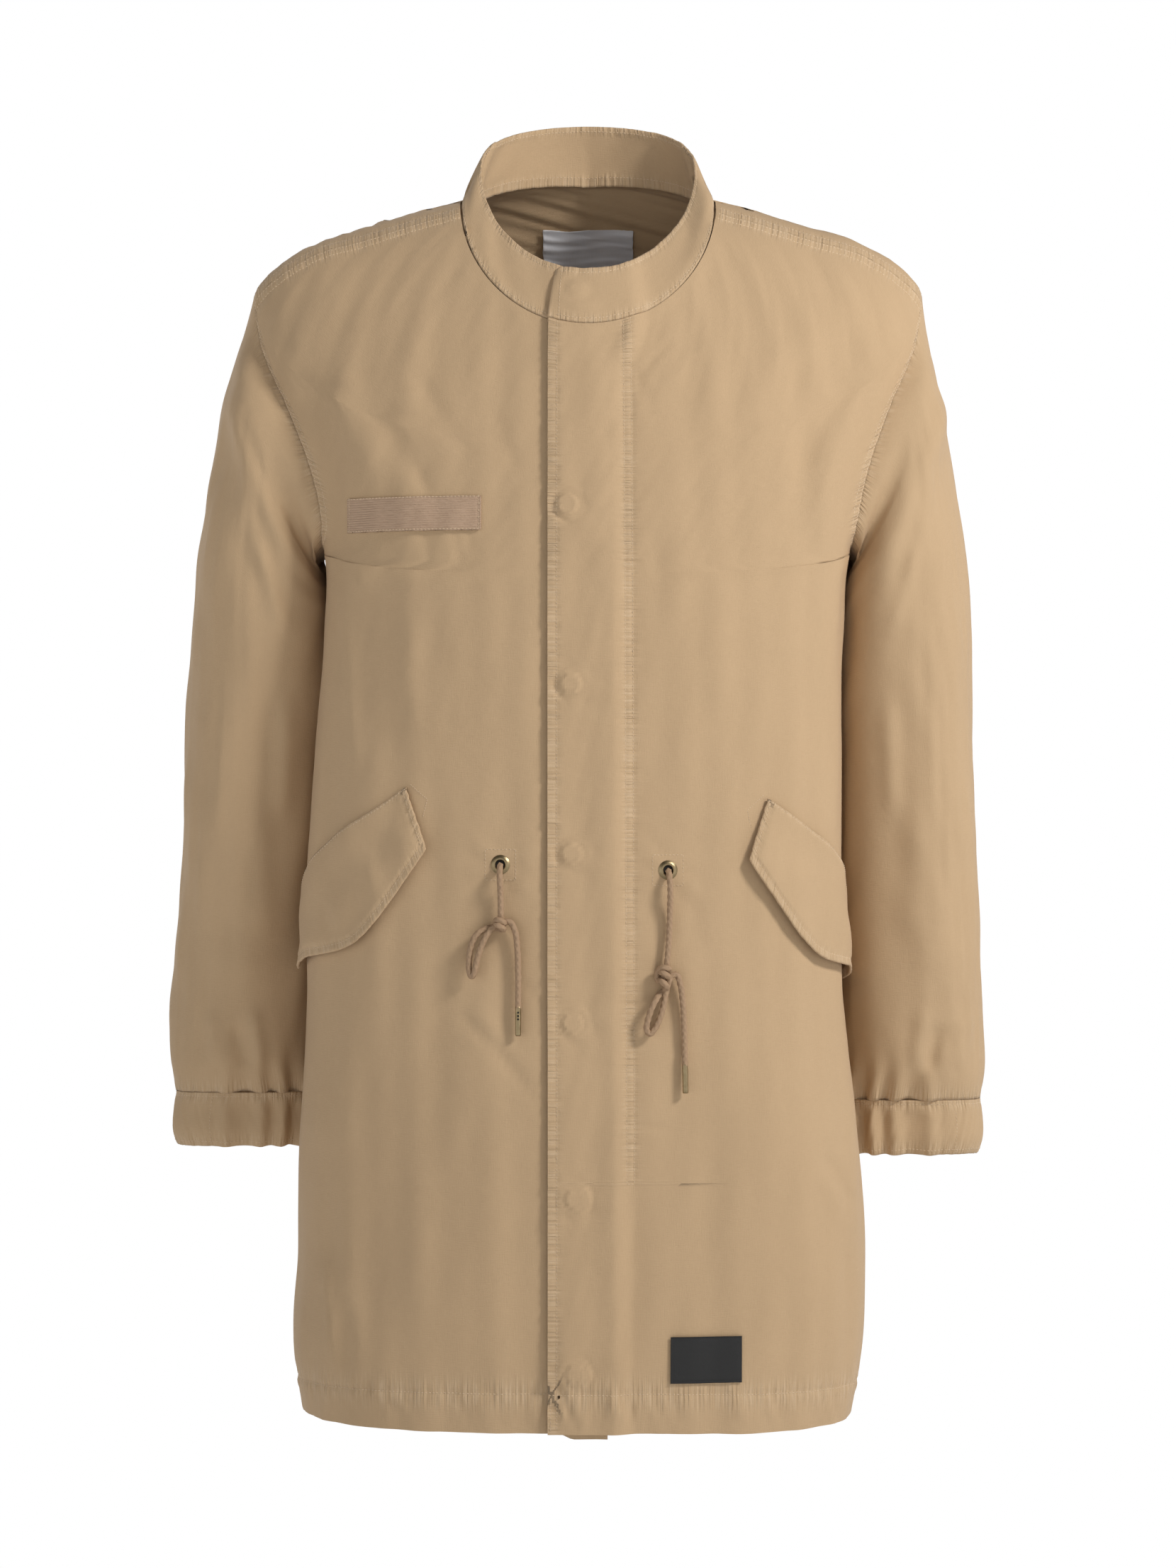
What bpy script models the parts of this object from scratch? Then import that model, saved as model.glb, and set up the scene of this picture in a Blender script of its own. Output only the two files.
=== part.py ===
"""Thigh-length cotton parka with a stand collar, shown filled out as if it were worn.

Run it with blender --background --python part.py, or from Blender's text editor. It leaves one
object for each cut and sewn piece, at real size in metres, +Z up and with the front facing -Y.
The origin lies between the two points where the shoulder seams meet the collar, which is where a
wearer carries the coat. Right and left are the wearer's, so the right side is at -X.
All sizes in the tables are millimetres.
"""

import math
from collections import namedtuple

import bmesh
import bpy
import numpy as np
from mathutils import Vector

MM = 0.001

# Cloth and clearances
CLOTH = 1.2  # wall of one layer of cotton
DOUBLE = 2.0  # wall of two layers sewn together
SEAM = 0.3  # gap between pieces that are sewn edge to edge
NECK_TRIM = 1.2  # the panels end this far below the neck ring, where the collar stands on them
LYING = 0.6  # gap under a piece that is sewn flat on a panel
FELL = 8.0  # width of a felled seam
FELL_RISE = 0.5
FELL_BEND = 1.5  # width of the step beside a felled seam
HEM = 24.0  # depth of the turned-up hem
HEM_RISE = 0.5

# Front closing: the left front laps over the right one
FLAP_EDGE = -29.0  # free edge of the left front
FLAP_FOLD = -22.0  # the flap's second column of points
UNDERLAP_EDGE = 14.0  # free edge of the right front, under the flap
COLLAR_UNDER_EDGE = 27.0  # the collar's inner end
FLAP_LIFT = 4.4  # the flap stands off this far up to LIFT_FULL, and lies on the body from LIFT_ENDS
LIFT_FULL = 17.0
LIFT_ENDS = 34.0
COLLAR_LIFT = 14.0  # both are this much further over at the neck
LIFT_SPREADS = 910.0  # from this station up
UNDERLAP_COLUMNS = (-2, 12, 26)
UNDERLAP_DROP = 4.0  # the right front's corner shows this far below the flap's hem
SNAP_X = -10.0
SNAP_HEIGHTS = (-233, -362, -484, -606, -732, -858)
SNAP_RADIUS = 7.5
SNAP_THICK = 2.2
COLLAR_SNAP_THICK = 0.8

# Horizontal rings of the body from the hem up; above the underarm they tilt and close in to the neck.
# station runs up the side; the heights are at the side, the centre front and the centre back. wide is
# the half width that the depth is shaped on away from the sides; it stays wide along the shoulder.
Section = namedtuple(
    "Section",
    "station side_z front_z back_z half_w wide front_y back_y shift_x side_y full_f full_b seam groove ridge",
)
BODY = (
    Section(0, -898, -902, -900, 203, 203, -134, 148, -8, -20, 2.4, 2.7, 110, 0, 0),
    Section(48, -850, -846, -850, 211, 211, -138, 150, -7, -25, 2.4, 2.8, 110, 3, 2),
    Section(118, -780, -778, -780, 210, 210, -140, 150, -4, -30, 2.4, 2.9, 110, 10, 8),
    Section(198, -700, -700, -700, 207, 207, -141, 148, -6, -38, 2.4, 3.0, 110, 20, 13),
    Section(298, -600, -602, -600, 199, 199, -140, 144, -9, -38, 2.4, 3.0, 109, 18, 10),
    Section(398, -500, -505, -500, 198, 199, -138, 140, -10, -36, 2.4, 2.9, 107, 15, 6),
    Section(488, -410, -420, -410, 195, 199, -138, 139, -7, -28, 2.4, 2.8, 103, 13, 2),
    Section(578, -320, -335, -320, 192, 202, -138, 140, -3, -14, 2.4, 2.7, 98, 9, 0),
    Section(636, -262, -283, -262, 195, 207, -138, 142, -1, -2, 2.4, 2.6, 94, 1, 0),
    Section(684, -215, -260, -218, 211, 217, -137, 143, 0, 2, 2.35, 2.5, 92, 0, 0),
    Section(736, -165, -237, -172, 228, 230, -136, 144, 0, 4, 2.3, 2.4, 90, 0, 0),
    Section(789, -112, -213, -126, 242, 244, -135, 144, 0, 4, 2.25, 2.35, 88, 0, 0),
    Section(833, -65, -190, -80, 250, 254, -134, 144, 0, 3, 2.2, 2.3, 86, 0, 0),
    Section(866, -41, -171, -46, 227, 259, -134, 144, 0, 2, 2.15, 2.2, 85, 0, 0),
    Section(892, -28, -155, -28, 202, 262, -134, 144, 0, 1, 2.1, 2.15, 85, 0, 0),
    Section(926, -18, -135, -13, 168, 264, -134, 144, 0, 0, 2.05, 2.1, 84, 0, 0),
    Section(968, -7, -116, 1, 128, 266, -134, 144, 0, -2, 2.0, 2.05, 84, 0, 0),
    Section(1002, 1, -100, 8, 94, 266, -134, 144, 0, -4, 2.0, 2.0, 84, 0, 0),
)
SHOULDER_START = -330.0  # the chest and the back begin to round over to the shoulder line here
SHOULDER_X = (0, 50, 94, 128, 168, 202, 227, 250, 262)
SHOULDER_Z = (25, 15, 1, -7, -18, -28, -41, -65, -81)
ROUND_FRONT = 2.0
ROUND_BACK = 3.2
HEM_DIP = 3.0  # the hem hangs this much lower on the wearer's left
HEM_TURN = 2.0  # the hem's step is this far to each side of its stitching
LOWEST_ROW = 12.0  # the body's own rows start this far above the hem
ABOVE_ROWS = 8
NECK_RISE = 20.0  # the cloth round the back of the neck lies this much higher
UNDERARM = 636.0  # station of the underarm point
TIP = 833.0  # station of the shoulder tip
NECK = 1002.0
ARMHOLE_FRONT = 26.0  # degrees that the armhole reaches forward of the side line, and back of it
ARMHOLE_BACK = 24.0
ARMHOLE_STEPS = 10
BELOW_ROWS = 15
GROOVE_Y = 15.0  # the hanging arms press a groove into each side, with the seam's ridge behind it
GROOVE_HALF = 28.0
RIDGE_Y = 66.0
RIDGE_HALF = 28.0

SLEEVE_TURN = 4.0  # the sleeve leaves the armhole over this length

# Rings of the right sleeve after the armhole, each between its outer and inner point seen from the front.
# tilt is how far a ring's front lies below its back.
Ring = namedtuple("Ring", "run outer_x outer_z inner_x inner_z mid_y half_d full tilt", defaults=(0,))
SLEEVE = (
    Ring(28, 262, -108, 198, -275, 8, 65, 2.1, 12),
    Ring(60, 270, -141, 196, -284, 8, 67, 2.1, 10),
    Ring(100, 279, -185, 194, -296, 8, 69, 2.1, 6),
    Ring(150, 288, -245, 192, -315, 10, 70, 2.15),
    Ring(215, 295, -320, 191, -355, 14, 68, 2.2),
    Ring(295, 302, -410, 194, -415, 18, 64, 2.2),
    Ring(372, 306, -490, 199, -490, 19, 58, 2.2),
    Ring(442, 310, -560, 202, -560, 19, 53, 2.2),
    Ring(497, 313, -615, 205, -615, 17, 47, 2.2),
    Ring(525, 313, -643, 207, -643, 15, 42, 2.2),
    Ring(547, 310, -664, 208, -664, 13, 31, 2.4),
)
CUFF = (
    Ring(0, 310, -664, 208, -664, 13, 31, 2.4),
    Ring(14, 312, -678, 208, -678, 13, 30, 2.5),
    Ring(30, 312, -694, 209, -694, 12, 29, 2.5),
    Ring(41, 309, -705, 211, -705, 12, 26, 2.5),
)
LEFT_LEAN = 15.0  # the left arm hangs this much closer at the cuff, and this much lower
LEFT_DROP = 6.0
CUFF_FLAT = (-70, 20)  # degrees round the cuff, from its outer edge towards the front, without gathers
GATHERS = 15
CUFF_COLUMNS = 54
GATHER_DEPTH = 1.8
GATHER_STARTS = 14.0  # degrees past the flat part, and millimetres below the cuff's seam

# The collar's top edge; its foot is the body's neck ring
COLLAR_CORNER = 11.0
COLLAR_TOP = Section(0, 30, -57, 70, 80, 80, -85, 72, 0, 4, 2.0, 2.0, 84, 0, 0)
COLLAR_LEVEL = 0.75
COLLAR_SWELL = 1.5
COLLAR_LEAST = 0.8  # degrees between two columns of the collar

# Folds, each from a to b as seen from the front or the back; a negative height is a trough
Fold = namedtuple("Fold", "face ax az bx bz half_w height")
BODY_FOLDS = (
    Fold("front", -206, -110, -176, -300, 18, -4),
    Fold("front", 206, -80, 146, -225, 16, -4),
    Fold("front", 186, -110, 168, -330, 14, 3),
    Fold("front", -165, -280, -150, -430, 22, -3),
    Fold("front", -60, -560, -75, -900, 34, 3),
    Fold("front", -150, -600, -160, -880, 26, -4),
    Fold("front", 120, -560, 150, -880, 30, 3),
    Fold("back", -150, -170, -95, -420, 22, -4),
    Fold("back", 150, -170, 100, -400, 22, -4),
    Fold("back", -60, -420, -90, -880, 36, 4),
    Fold("back", 70, -480, 95, -890, 36, 4),
    Fold("back", 0, -300, 4, -800, 40, -3),
)
SLEEVE_FOLDS = (
    Fold("front", -280, -150, -232, -330, 16, -4),
    Fold("front", -232, -330, -226, -640, 18, -3),
    Fold("front", -270, -400, -262, -620, 22, 2),
    Fold("back", -285, -190, -240, -380, 18, -4),
    Fold("back", -275, -420, -240, -520, 18, -3),
)

# Pocket flap corners as (distance from the centre front round the body, height)
FLAP_TOP = ((131, -435), (163, -455), (199, -475), (235, -500), (268, -534))
FLAP_BOTTOM = ((115, -479), (143, -520), (172, -551), (222, -562), (262, -572))
FLAP_LEFT_DROP = 8.0  # the left flap sits this much lower
FLAP_PUFF = 0.9
FLAP_STAND = 4.0  # the flaps' free edges stand off this much further

# Sewn-on pieces, centres and sizes on the front
TAPE_CENTRE = (-126, -238)
TAPE_SIZE = (100, 25)
PATCH_CENTRE = (85, -849)
PATCH_SIZE = (53, 35)
LABEL_SIZE = (74, 68)
LABEL_DROP = 12.0  # from the neck seam to the label's top
LABEL_THICK = 0.8
LABEL_STEEP = 0.75  # the back slopes where the label lies, so its height is less than its length

# Waist drawcord ends. A route runs through (x, z, distance of its middle from the cloth).
CORD = 4.6
EYELET_OUTER = 7.0
EYELET_HOLE = 3.4
EYELET_THICK = 1.6
EYELETS = {"right": (-63, -492), "left": (57.5, -496)}
DROPS = {
    "right": (
        (-63, -492.8, 3.2), (-62.9, -493.1, 6.2), (-62.8, -499, 8.2), (-62.6, -512, 6.0), (-62.5, -525.1, 5.9),
    ),
    "left": (
        (57.5, -496.8, 3.2), (57.6, -497.1, 6.2), (57.8, -503, 8.2), (58.8, -520, 5.2), (59.4, -544, 4.2),
        (56.4, -560.4, 5.0),
    ),
}
KNOTS = {"right": ((-62.5, -532.5, 6.3), (8.6, 5.6, 7.4)), "left": ((54.4, -571.5, 5.8), (8.2, 5.4, 11.2))}
LOOPS = {
    "right": (
        (-70.5, -534.6, 6.6), (-80.6, -537.5, 7.6), (-84.6, -547, 7.2), (-85.6, -562, 6.2), (-85.2, -574, 6.0),
        (-82.3, -580.5, 6.2), (-79.3, -574, 7.0), (-79.0, -562, 7.4), (-77.4, -549, 8.0), (-69.0, -538.9, 7.2),
    ),
    "left": (
        (50.2, -582.6, 6.6), (45.2, -593, 8.0), (40.6, -606, 7.0), (39.4, -615, 6.0), (42.6, -619.5, 5.4),
        (47.6, -614, 5.4), (51.2, -603, 5.6), (54.6, -592, 5.6), (55.4, -584.0, 5.2),
    ),
}
TAILS = {
    "right": (
        (-51.9, -530.2, 6.0), (-50.6, -533.5, 5.4), (-49.4, -544, 4.6), (-49.0, -570, 4.2), (-49.2, -595.6, 4.6),
    ),
    "left": (
        (63.9, -565.8, 6.0), (66.0, -571.5, 5.6), (68.2, -585, 4.8), (69.6, -611, 4.2), (69.0, -636.8, 4.6),
    ),
}
TIP_LENGTH = 21.0
TIP_RADIUS = 2.1

AXIS = np.array([0.0, 0.0, -400.0])  # a point inside the body, to tell outwards from inwards

COLOURS = {
    "cloth": (0.50, 0.355, 0.215),
    "webbing": (0.45, 0.29, 0.18),
    "leather": (0.012, 0.012, 0.013),
    "label": (0.62, 0.62, 0.66),
    "metal": (0.33, 0.25, 0.13),
    "cord": (0.42, 0.28, 0.17),
}


# ---------------------------------------------------------------- curves and surfaces


def spline(knots, values, at):
    """A smooth curve through (knots, values), read at any array of places. values may hold rows."""
    knots, values, at = np.asarray(knots, float), np.asarray(values, float), np.asarray(at, float)
    slopes = np.gradient(values, knots, axis=0)
    i = np.clip(np.searchsorted(knots, at, side="right") - 1, 0, len(knots) - 2)
    span = knots[i + 1] - knots[i]
    t = (at - knots[i]) / span
    wide = (...,) + (None,) * (values.ndim - 1)
    t, span = t[wide], span[wide]
    return (
        values[i] * (2 * t**3 - 3 * t**2 + 1)
        + slopes[i] * span * (t**3 - 2 * t**2 + t)
        + values[i + 1] * (3 * t**2 - 2 * t**3)
        + slopes[i + 1] * span * (t**3 - t**2)
    )


def smooth(t):
    t = np.clip(t, 0, 1)
    return t * t * (3 - 2 * t)


def unit(v):
    return v / np.maximum(np.linalg.norm(v, axis=-1, keepdims=True), 1e-9)


def section_at(station):
    rows = spline([s.station for s in BODY], np.array(BODY), station)
    return Section(*np.moveaxis(rows, -1, 0))


def ring_points(s, theta, level=1.0):
    """Points of a tilted superellipse ring. theta is in degrees, 0 at the front and 90 at the left side.

    level below 1 keeps the back of the ring nearly level and lets it fall away close to the sides.
    """
    angle = np.radians(theta)
    c, n = np.cos(angle), np.sin(angle)
    front = c >= 0
    power = 2 / np.where(front, s.full_f, s.full_b)
    x = s.shift_x + s.half_w * np.sign(n) * np.abs(n) ** power
    y = s.side_y + (np.where(front, s.front_y, s.back_y) - s.side_y) * np.abs(c) ** power
    front_share, back_share = np.abs(c), np.abs(c) ** level
    z = s.side_z + np.where(front, (s.front_z - s.side_z) * front_share, (s.back_z - s.side_z) * back_share)
    return np.stack([x, y, z], -1)


def fold_height(folds, points, facing):
    """How far the folds move each point out. facing is below 0 where the cloth faces the front."""
    out = np.zeros(points.shape[:-1])
    for f in folds:
        a, b = np.array([f.ax, f.az], float), np.array([f.bx, f.bz], float)
        along = b - a
        length = np.linalg.norm(along)
        off = points[..., [0, 2]] - a
        s = off @ along / length**2
        across = (off[..., 0] * along[1] - off[..., 1] * along[0]) / length
        taper = smooth(np.minimum(s, 1 - s) / 0.3)
        side = -facing if f.face == "front" else facing
        out += f.height * np.exp(-((across / f.half_w) ** 2)) * taper * smooth(side * 2.5)
    return out


def normal_of(surface, a, b, da=1.0, db=0.4):
    """The outward normal of surface(a, b), where a grows upwards and b to the wearer's left."""
    up = surface(a + da, b) - surface(a - da, b)
    round_it = surface(a, b + db) - surface(a, b - db)
    return unit(np.cross(round_it, up))


def body_base(station, theta):
    """The body without its folds: a ring whose depth also rounds over towards the shoulder line."""
    s = section_at(station)
    p = ring_points(s, theta)
    front = np.cos(np.radians(theta)) >= 0
    full, end_y, rounding = (
        np.where(front, a, b)
        for a, b in ((s.full_f, s.full_b), (s.front_y, s.back_y), (ROUND_FRONT, ROUND_BACK))
    )
    off = np.abs(p[..., 0] - s.shift_x)
    freed = np.maximum(smooth(np.abs(np.cos(np.radians(theta))) / 0.35), smooth((station - UNDERARM) / 60))
    wide = s.half_w + (s.wide - s.half_w) * freed
    across = np.clip(1 - (off / wide) ** full, 0, 1) ** (1 / full)
    ridge, at_side = (spline(SHOULDER_X, SHOULDER_Z, np.minimum(x, SHOULDER_X[-1])) for x in (off, s.half_w))
    top = ridge + (s.side_z - at_side) * (station >= TIP)
    rise = np.clip((p[..., 2] - SHOULDER_START) / (top - SHOULDER_START), 0, 1)
    over = (1 - rise**rounding) ** (1 / rounding)
    p[..., 1] = s.side_y + (end_y - s.side_y) * across * over
    p[..., 2] -= HEM_DIP * smooth((p[..., 0] - 30) / 120) * (1 - smooth(station / 80))
    p[..., 2] += NECK_RISE * np.exp(-((p[..., 0] / 120) ** 2) - ((p[..., 1] - 65) / 50) ** 2)
    return p


def body_surface(station, theta):
    s = section_at(station)
    p = body_base(station, theta)
    n = normal_of(body_base, station, theta)
    side = smooth(np.abs(n[..., 0]) * 1.6 - 0.4)
    dent = -s.groove * np.exp(-(((p[..., 1] - GROOVE_Y) / GROOVE_HALF) ** 2))
    bulge = s.ridge * np.exp(-(((p[..., 1] - RIDGE_Y) / RIDGE_HALF) ** 2))
    out = (dent + bulge) * side + fold_height(BODY_FOLDS, p, n[..., 1])
    return p + n * out[..., None]


def body_normal(station, theta):
    return normal_of(body_surface, station, theta)


def arc_tables(station):
    """Angles round one ring, with the distance of each from the centre front along the cloth."""
    theta = np.linspace(-180, 180, 1441)
    p = body_base(np.full_like(theta, station), theta)
    run = np.concatenate([[0], np.cumsum(np.linalg.norm(np.diff(p, axis=0), axis=1))])
    front = np.abs(theta) < 80
    return theta, run - np.interp(0, p[front, 0], run[front])


def armhole_turn(station):
    """0 at the underarm and pi at the shoulder tip; the armhole is an ellipse in this angle."""
    return np.arccos(np.clip(1 - 2 * (station - UNDERARM) / (TIP - UNDERARM), -1, 1))


def boundary(station, face):
    """The angle from the front at which a front or back panel ends: a seam, or the armhole."""
    open_by = np.sin(armhole_turn(station))
    reach = -ARMHOLE_FRONT if face == "front" else ARMHOLE_BACK
    return section_at(np.asarray(station, float)).seam + reach * open_by


def panel_stations():
    turns = np.linspace(0, math.pi, ARMHOLE_STEPS + 1)
    armhole = UNDERARM + (TIP - UNDERARM) * (1 - np.cos(turns)) / 2
    below = np.linspace(HEM + LOWEST_ROW, UNDERARM, BELOW_ROWS)
    above = np.linspace(TIP, NECK, ABOVE_ROWS)
    return np.concatenate([[0, HEM - HEM_TURN, HEM + HEM_TURN], below[:-1], armhole, above[1:]])


def lift_bounds(station):
    further = COLLAR_LIFT * smooth((station - LIFT_SPREADS) / (NECK - LIFT_SPREADS))
    return LIFT_FULL + further, LIFT_ENDS + further


def lift(x, station):
    """How far the left front and the collar's outer end stand off, by distance from the centre front."""
    full, ends = lift_bounds(station)
    return FLAP_LIFT * smooth((ends - x) / (ends - full))


def panel_columns(name, station):
    """Signed distances from the centre front round the body of one row's points, and their angles."""
    theta, run = arc_tables(station)
    if name == "back":
        arc = np.concatenate([back_half(theta, run, station, 1), back_half(theta, run, station, -1)[-2::-1]])
        return arc, np.interp(arc, run, theta)
    side = 1 if name == "front_left" else -1
    end = abs(np.interp(side * boundary(station, "front"), theta, run))
    if side > 0:
        full, ends = lift_bounds(station)
        near = [FLAP_EDGE, *np.linspace(FLAP_FOLD, full, 4)[:-1], *np.linspace(full, ends, 4)]
        far = np.linspace(ends, end - FELL - FELL_BEND, 10)[1:]
    else:
        near = [-UNDERLAP_EDGE, *UNDERLAP_COLUMNS]
        far = np.linspace(near[-1], end - FELL - FELL_BEND, 11)[1:]
    arc = side * np.concatenate([near, far, [end - FELL, end - SEAM / 2]])
    return arc, np.interp(arc, run, theta)


def back_half(theta, run, station, side):
    """Distances of one half of the back's points, from its side seam or armhole to the centre back."""
    end = np.interp(side * boundary(station, "back"), theta, run)
    start = end + side * SEAM / 2
    fell = end + side * FELL
    return np.concatenate([[start, fell], np.linspace(fell + side * FELL_BEND, side * run[-1], 10)])


def trimmed(stations):
    """The stations with the top one lowered for the gap of the neck seam."""
    out = stations.copy()
    out[-1] -= NECK_TRIM
    return out


def panel_grid(name):
    """Distances round the body, outer points and outward normals of a panel, in rows from the hem up."""
    rows = []
    for station in trimmed(panel_stations()):
        arc, theta = panel_columns(name, station)
        s = np.full_like(theta, station)
        p, n = body_surface(s, theta), body_normal(s, theta)
        out = np.zeros_like(arc)
        if station < HEM:
            out += HEM_RISE
        felled = [0, 1, -2, -1] if name == "back" else [-2, -1]
        out[felled] += FELL_RISE
        if name == "front_left":
            out += lift(arc, station)
        p = p + n * out[:, None]
        if name == "front_right" and station < HEM:
            p[:, 2] -= UNDERLAP_DROP * smooth((arc + 22) / 12) * (1 - smooth(station / HEM))
        rows.append((arc, p, n))
    return tuple(np.array(x) for x in zip(*rows))


def on_grid(points, key, value, z):
    """Points of a panel's own mesh at each pair of key value and height. key is the distance round or x."""
    value, z = np.asarray(value, float), np.asarray(z, float)
    out = np.empty((value.size, 3))
    for i, (v, height) in enumerate(zip(value.ravel(), z.ravel())):
        line = np.array([interp_row(row_key, row, v) for row_key, row in zip(key, points)])
        out[i] = interp_row(line[:, 2], line, height)
    return out.reshape(*value.shape, 3)


def interp_row(key, row, value):
    if key[0] > key[-1]:
        key, row = key[::-1], row[::-1]
    return np.array([np.interp(value, key, row[:, axis]) for axis in range(3)])


# ---------------------------------------------------------------- sleeves, cuffs and collar


def armhole_loop(turns, side):
    """Points of an armhole, their body normals and the way across the seam into the sleeve.

    turns runs from 0 at the underarm up the front to 180 at the shoulder tip and down the back to 360.
    """
    turns = np.asarray(turns, float)

    def place(at):
        front = at <= 180
        psi = np.radians(np.where(front, at, 360 - at))
        station = UNDERARM + (TIP - UNDERARM) * (1 - np.cos(psi)) / 2
        reach = np.where(front, -ARMHOLE_FRONT, ARMHOLE_BACK) * np.sin(psi)
        return station, side * (section_at(station).seam + reach)

    station, theta = place(turns)
    p, n = body_surface(station, theta), body_normal(station, theta)
    ahead, behind = (body_surface(*place((turns + d) % 360)) for d in (1.0, -1.0))
    across = unit(np.cross(n, unit(ahead - behind))) * -side
    return p, n, across


def sleeve_ring(r, turns, side):
    """Points of one sleeve or cuff ring on the wearer's right (side -1) or left (side 1)."""
    down = (SHOULDER_Z[-1] - (r.outer_z + r.inner_z) / 2) / (SHOULDER_Z[-1] - SLEEVE[-1].outer_z)
    lean = np.array([LEFT_LEAN * down**0.7, LEFT_DROP * down]) * (side > 0)
    outer, inner = np.array([r.outer_x, r.outer_z]) - lean, np.array([r.inner_x, r.inner_z]) - lean
    angle = np.radians(turns)
    power = 2 / r.full
    along = -np.sign(np.cos(angle)) * np.abs(np.cos(angle)) ** power
    depth = -np.sign(np.sin(angle)) * np.abs(np.sin(angle)) ** power
    middle, reach = (outer + inner) / 2, (outer - inner) / 2
    x = side * (middle[0] + reach[0] * along)
    return np.stack([x, r.mid_y + r.half_d * depth, middle[1] + reach[1] * along + r.tilt * depth], -1)


def sleeve_points(turns, runs, side):
    """The sleeve's outer points, rows down the arm and columns round it, before folds."""
    start, out, across = armhole_loop(turns, side)
    under = (1 + np.cos(np.radians(turns)))[:, None] / 2
    rings = [sleeve_ring(r, turns, side) for r in SLEEVE]
    turned = start + (unit(rings[0] - start) + out * under**2) * SLEEVE_TURN
    rings = np.array([start + across * 2 * SEAM, turned] + rings)
    return spline([0, SLEEVE_TURN] + [r.run for r in SLEEVE], rings, runs)


def grid_normals(p, closed):
    """Normals of a grid whose rows run down and whose columns run from the underarm to the front."""
    across = np.gradient(p, axis=1)
    if closed:
        across = (np.roll(p, -1, 1) - np.roll(p, 1, 1)) / 2
    return unit(np.cross(across, np.gradient(p, axis=0)))


def sleeve_grid(side):
    turns = np.linspace(0, 360, 2 * ARMHOLE_STEPS + 1)[:-1]
    runs = np.concatenate([[0, SLEEVE_TURN, 14], np.linspace(32, 533, 14), [SLEEVE[-1].run]])
    p = sleeve_points(turns, runs, side)
    n = grid_normals(p, True) * side * -1
    shown = p * np.array([-side, 1, 1])
    fade = smooth(runs / 25) * smooth((SLEEVE[-1].run - runs) / 25)
    p = p + n * (fold_height(SLEEVE_FOLDS, shown, n[..., 1]) * fade[:, None])[..., None]
    n = grid_normals(p, True) * side * -1
    return p, n, turns


def seam_inner(edge, normal, body_n, across, thick):
    """Inner points along a seam: mitred where the cloth turns away over the seam, square where it folds in."""
    turned = (normal * across).sum(-1, keepdims=True)
    mitre = unit(normal + body_n)
    longer = thick / np.maximum((mitre * body_n).sum(-1, keepdims=True), 0.6)
    return edge - np.where(turned > 0, mitre * longer, normal * thick)


def cuff_grid(side):
    turns = np.linspace(0, 360, CUFF_COLUMNS, endpoint=False)
    runs = np.array([SEAM, 7, 30, CUFF[-1].run])
    rings = np.array([sleeve_ring(r, turns, side) for r in CUFF])
    p = spline([r.run for r in CUFF], rings, runs)
    n = grid_normals(p, True) * side * -1
    p = p + n * gather(turns, runs)[..., None]
    return p, grid_normals(p, True) * side * -1


def gather(turns, runs):
    """Waves of the elastic part of a cuff, in rows down it; none on the flat part."""
    from_outer = (turns - 180) % 360
    from_outer = np.where(from_outer > 180, from_outer - 360, from_outer)
    inside = np.minimum(from_outer - CUFF_FLAT[0], CUFF_FLAT[1] - from_outer)
    elastic = smooth(-inside / GATHER_STARTS)
    uneven = 1 + 0.35 * np.sin(np.radians(turns * 3 + 40))
    wave = np.sin(np.radians(turns * GATHERS) + 0.8 * np.sin(np.radians(turns * 5)))
    down = smooth(runs / GATHER_STARTS)
    return GATHER_DEPTH * np.outer(down, wave * elastic * uneven)


def collar_grid():
    """Rows upwards; columns from the inner end, round the wearer's right and the back, to the outer end."""
    start, end = collar_ends()
    corner = np.array([0, 2, 5, 9])
    right, back, left = (panel_columns(name, NECK)[1] for name in ("front_right", "back", "front_left"))
    back = np.where(back > 0, back - 360, back)
    theta = np.unique(np.concatenate([start - corner, right, back, left - 360, end + corner]))[::-1]
    theta = theta[np.abs(np.diff(theta, prepend=999)) > COLLAR_LEAST]
    rise = np.array([0.0, 0.25, 0.6, 0.86, 1.0])
    return collar_surface(*np.meshgrid(theta, rise))


def collar_ends():
    return angle_at_x(COLLAR_UNDER_EDGE), angle_at_x(FLAP_EDGE) - 360


def collar_surface(theta, rise):
    """theta falls from the inner end through -180 at the back to the outer end; rise goes from 0 to 1."""
    neck = np.full_like(theta, NECK)
    foot, out = body_surface(neck, theta), body_normal(neck, theta)
    top = ring_points(COLLAR_TOP, theta, COLLAR_LEVEL)
    outer_end = (theta < -270) * lift(foot[..., 0], NECK)
    foot = foot + out * outer_end[..., None] + np.array([0, 0, SEAM + FELL_RISE])
    flat = unit(foot * np.array([1, 1, 0]))
    top = top + flat * outer_end[..., None]
    p = foot + (top - foot) * rise[..., None] + flat * (COLLAR_SWELL * np.sin(math.pi * rise))[..., None]
    for end in collar_ends():
        from_end = np.radians(np.abs(theta - end)) * BODY[-1].half_w
        p[..., 2] -= corner_drop(from_end) * rise**2
    return p


def angle_at_x(x):
    return math.degrees(math.asin(x / BODY[-1].half_w))


def corner_drop(from_end):
    """How far the top edge falls near an end, for a round corner."""
    inside = np.clip(1 - from_end / COLLAR_CORNER, 0, 1)
    return COLLAR_CORNER * (1 - np.sqrt(1 - inside**2))


# ---------------------------------------------------------------- objects


def material(slot):
    if slot in bpy.data.materials:
        return bpy.data.materials[slot]
    mat = bpy.data.materials.new(slot)
    mat.use_nodes = True
    shader = mat.node_tree.nodes["Principled BSDF"]
    shader.inputs["Base Color"].default_value = (*COLOURS[slot], 1)
    shader.inputs["Roughness"].default_value = 0.35 if slot in ("metal", "leather") else 0.9
    shader.inputs["Metallic"].default_value = 1.0 if slot == "metal" else 0.0
    return mat


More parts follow.
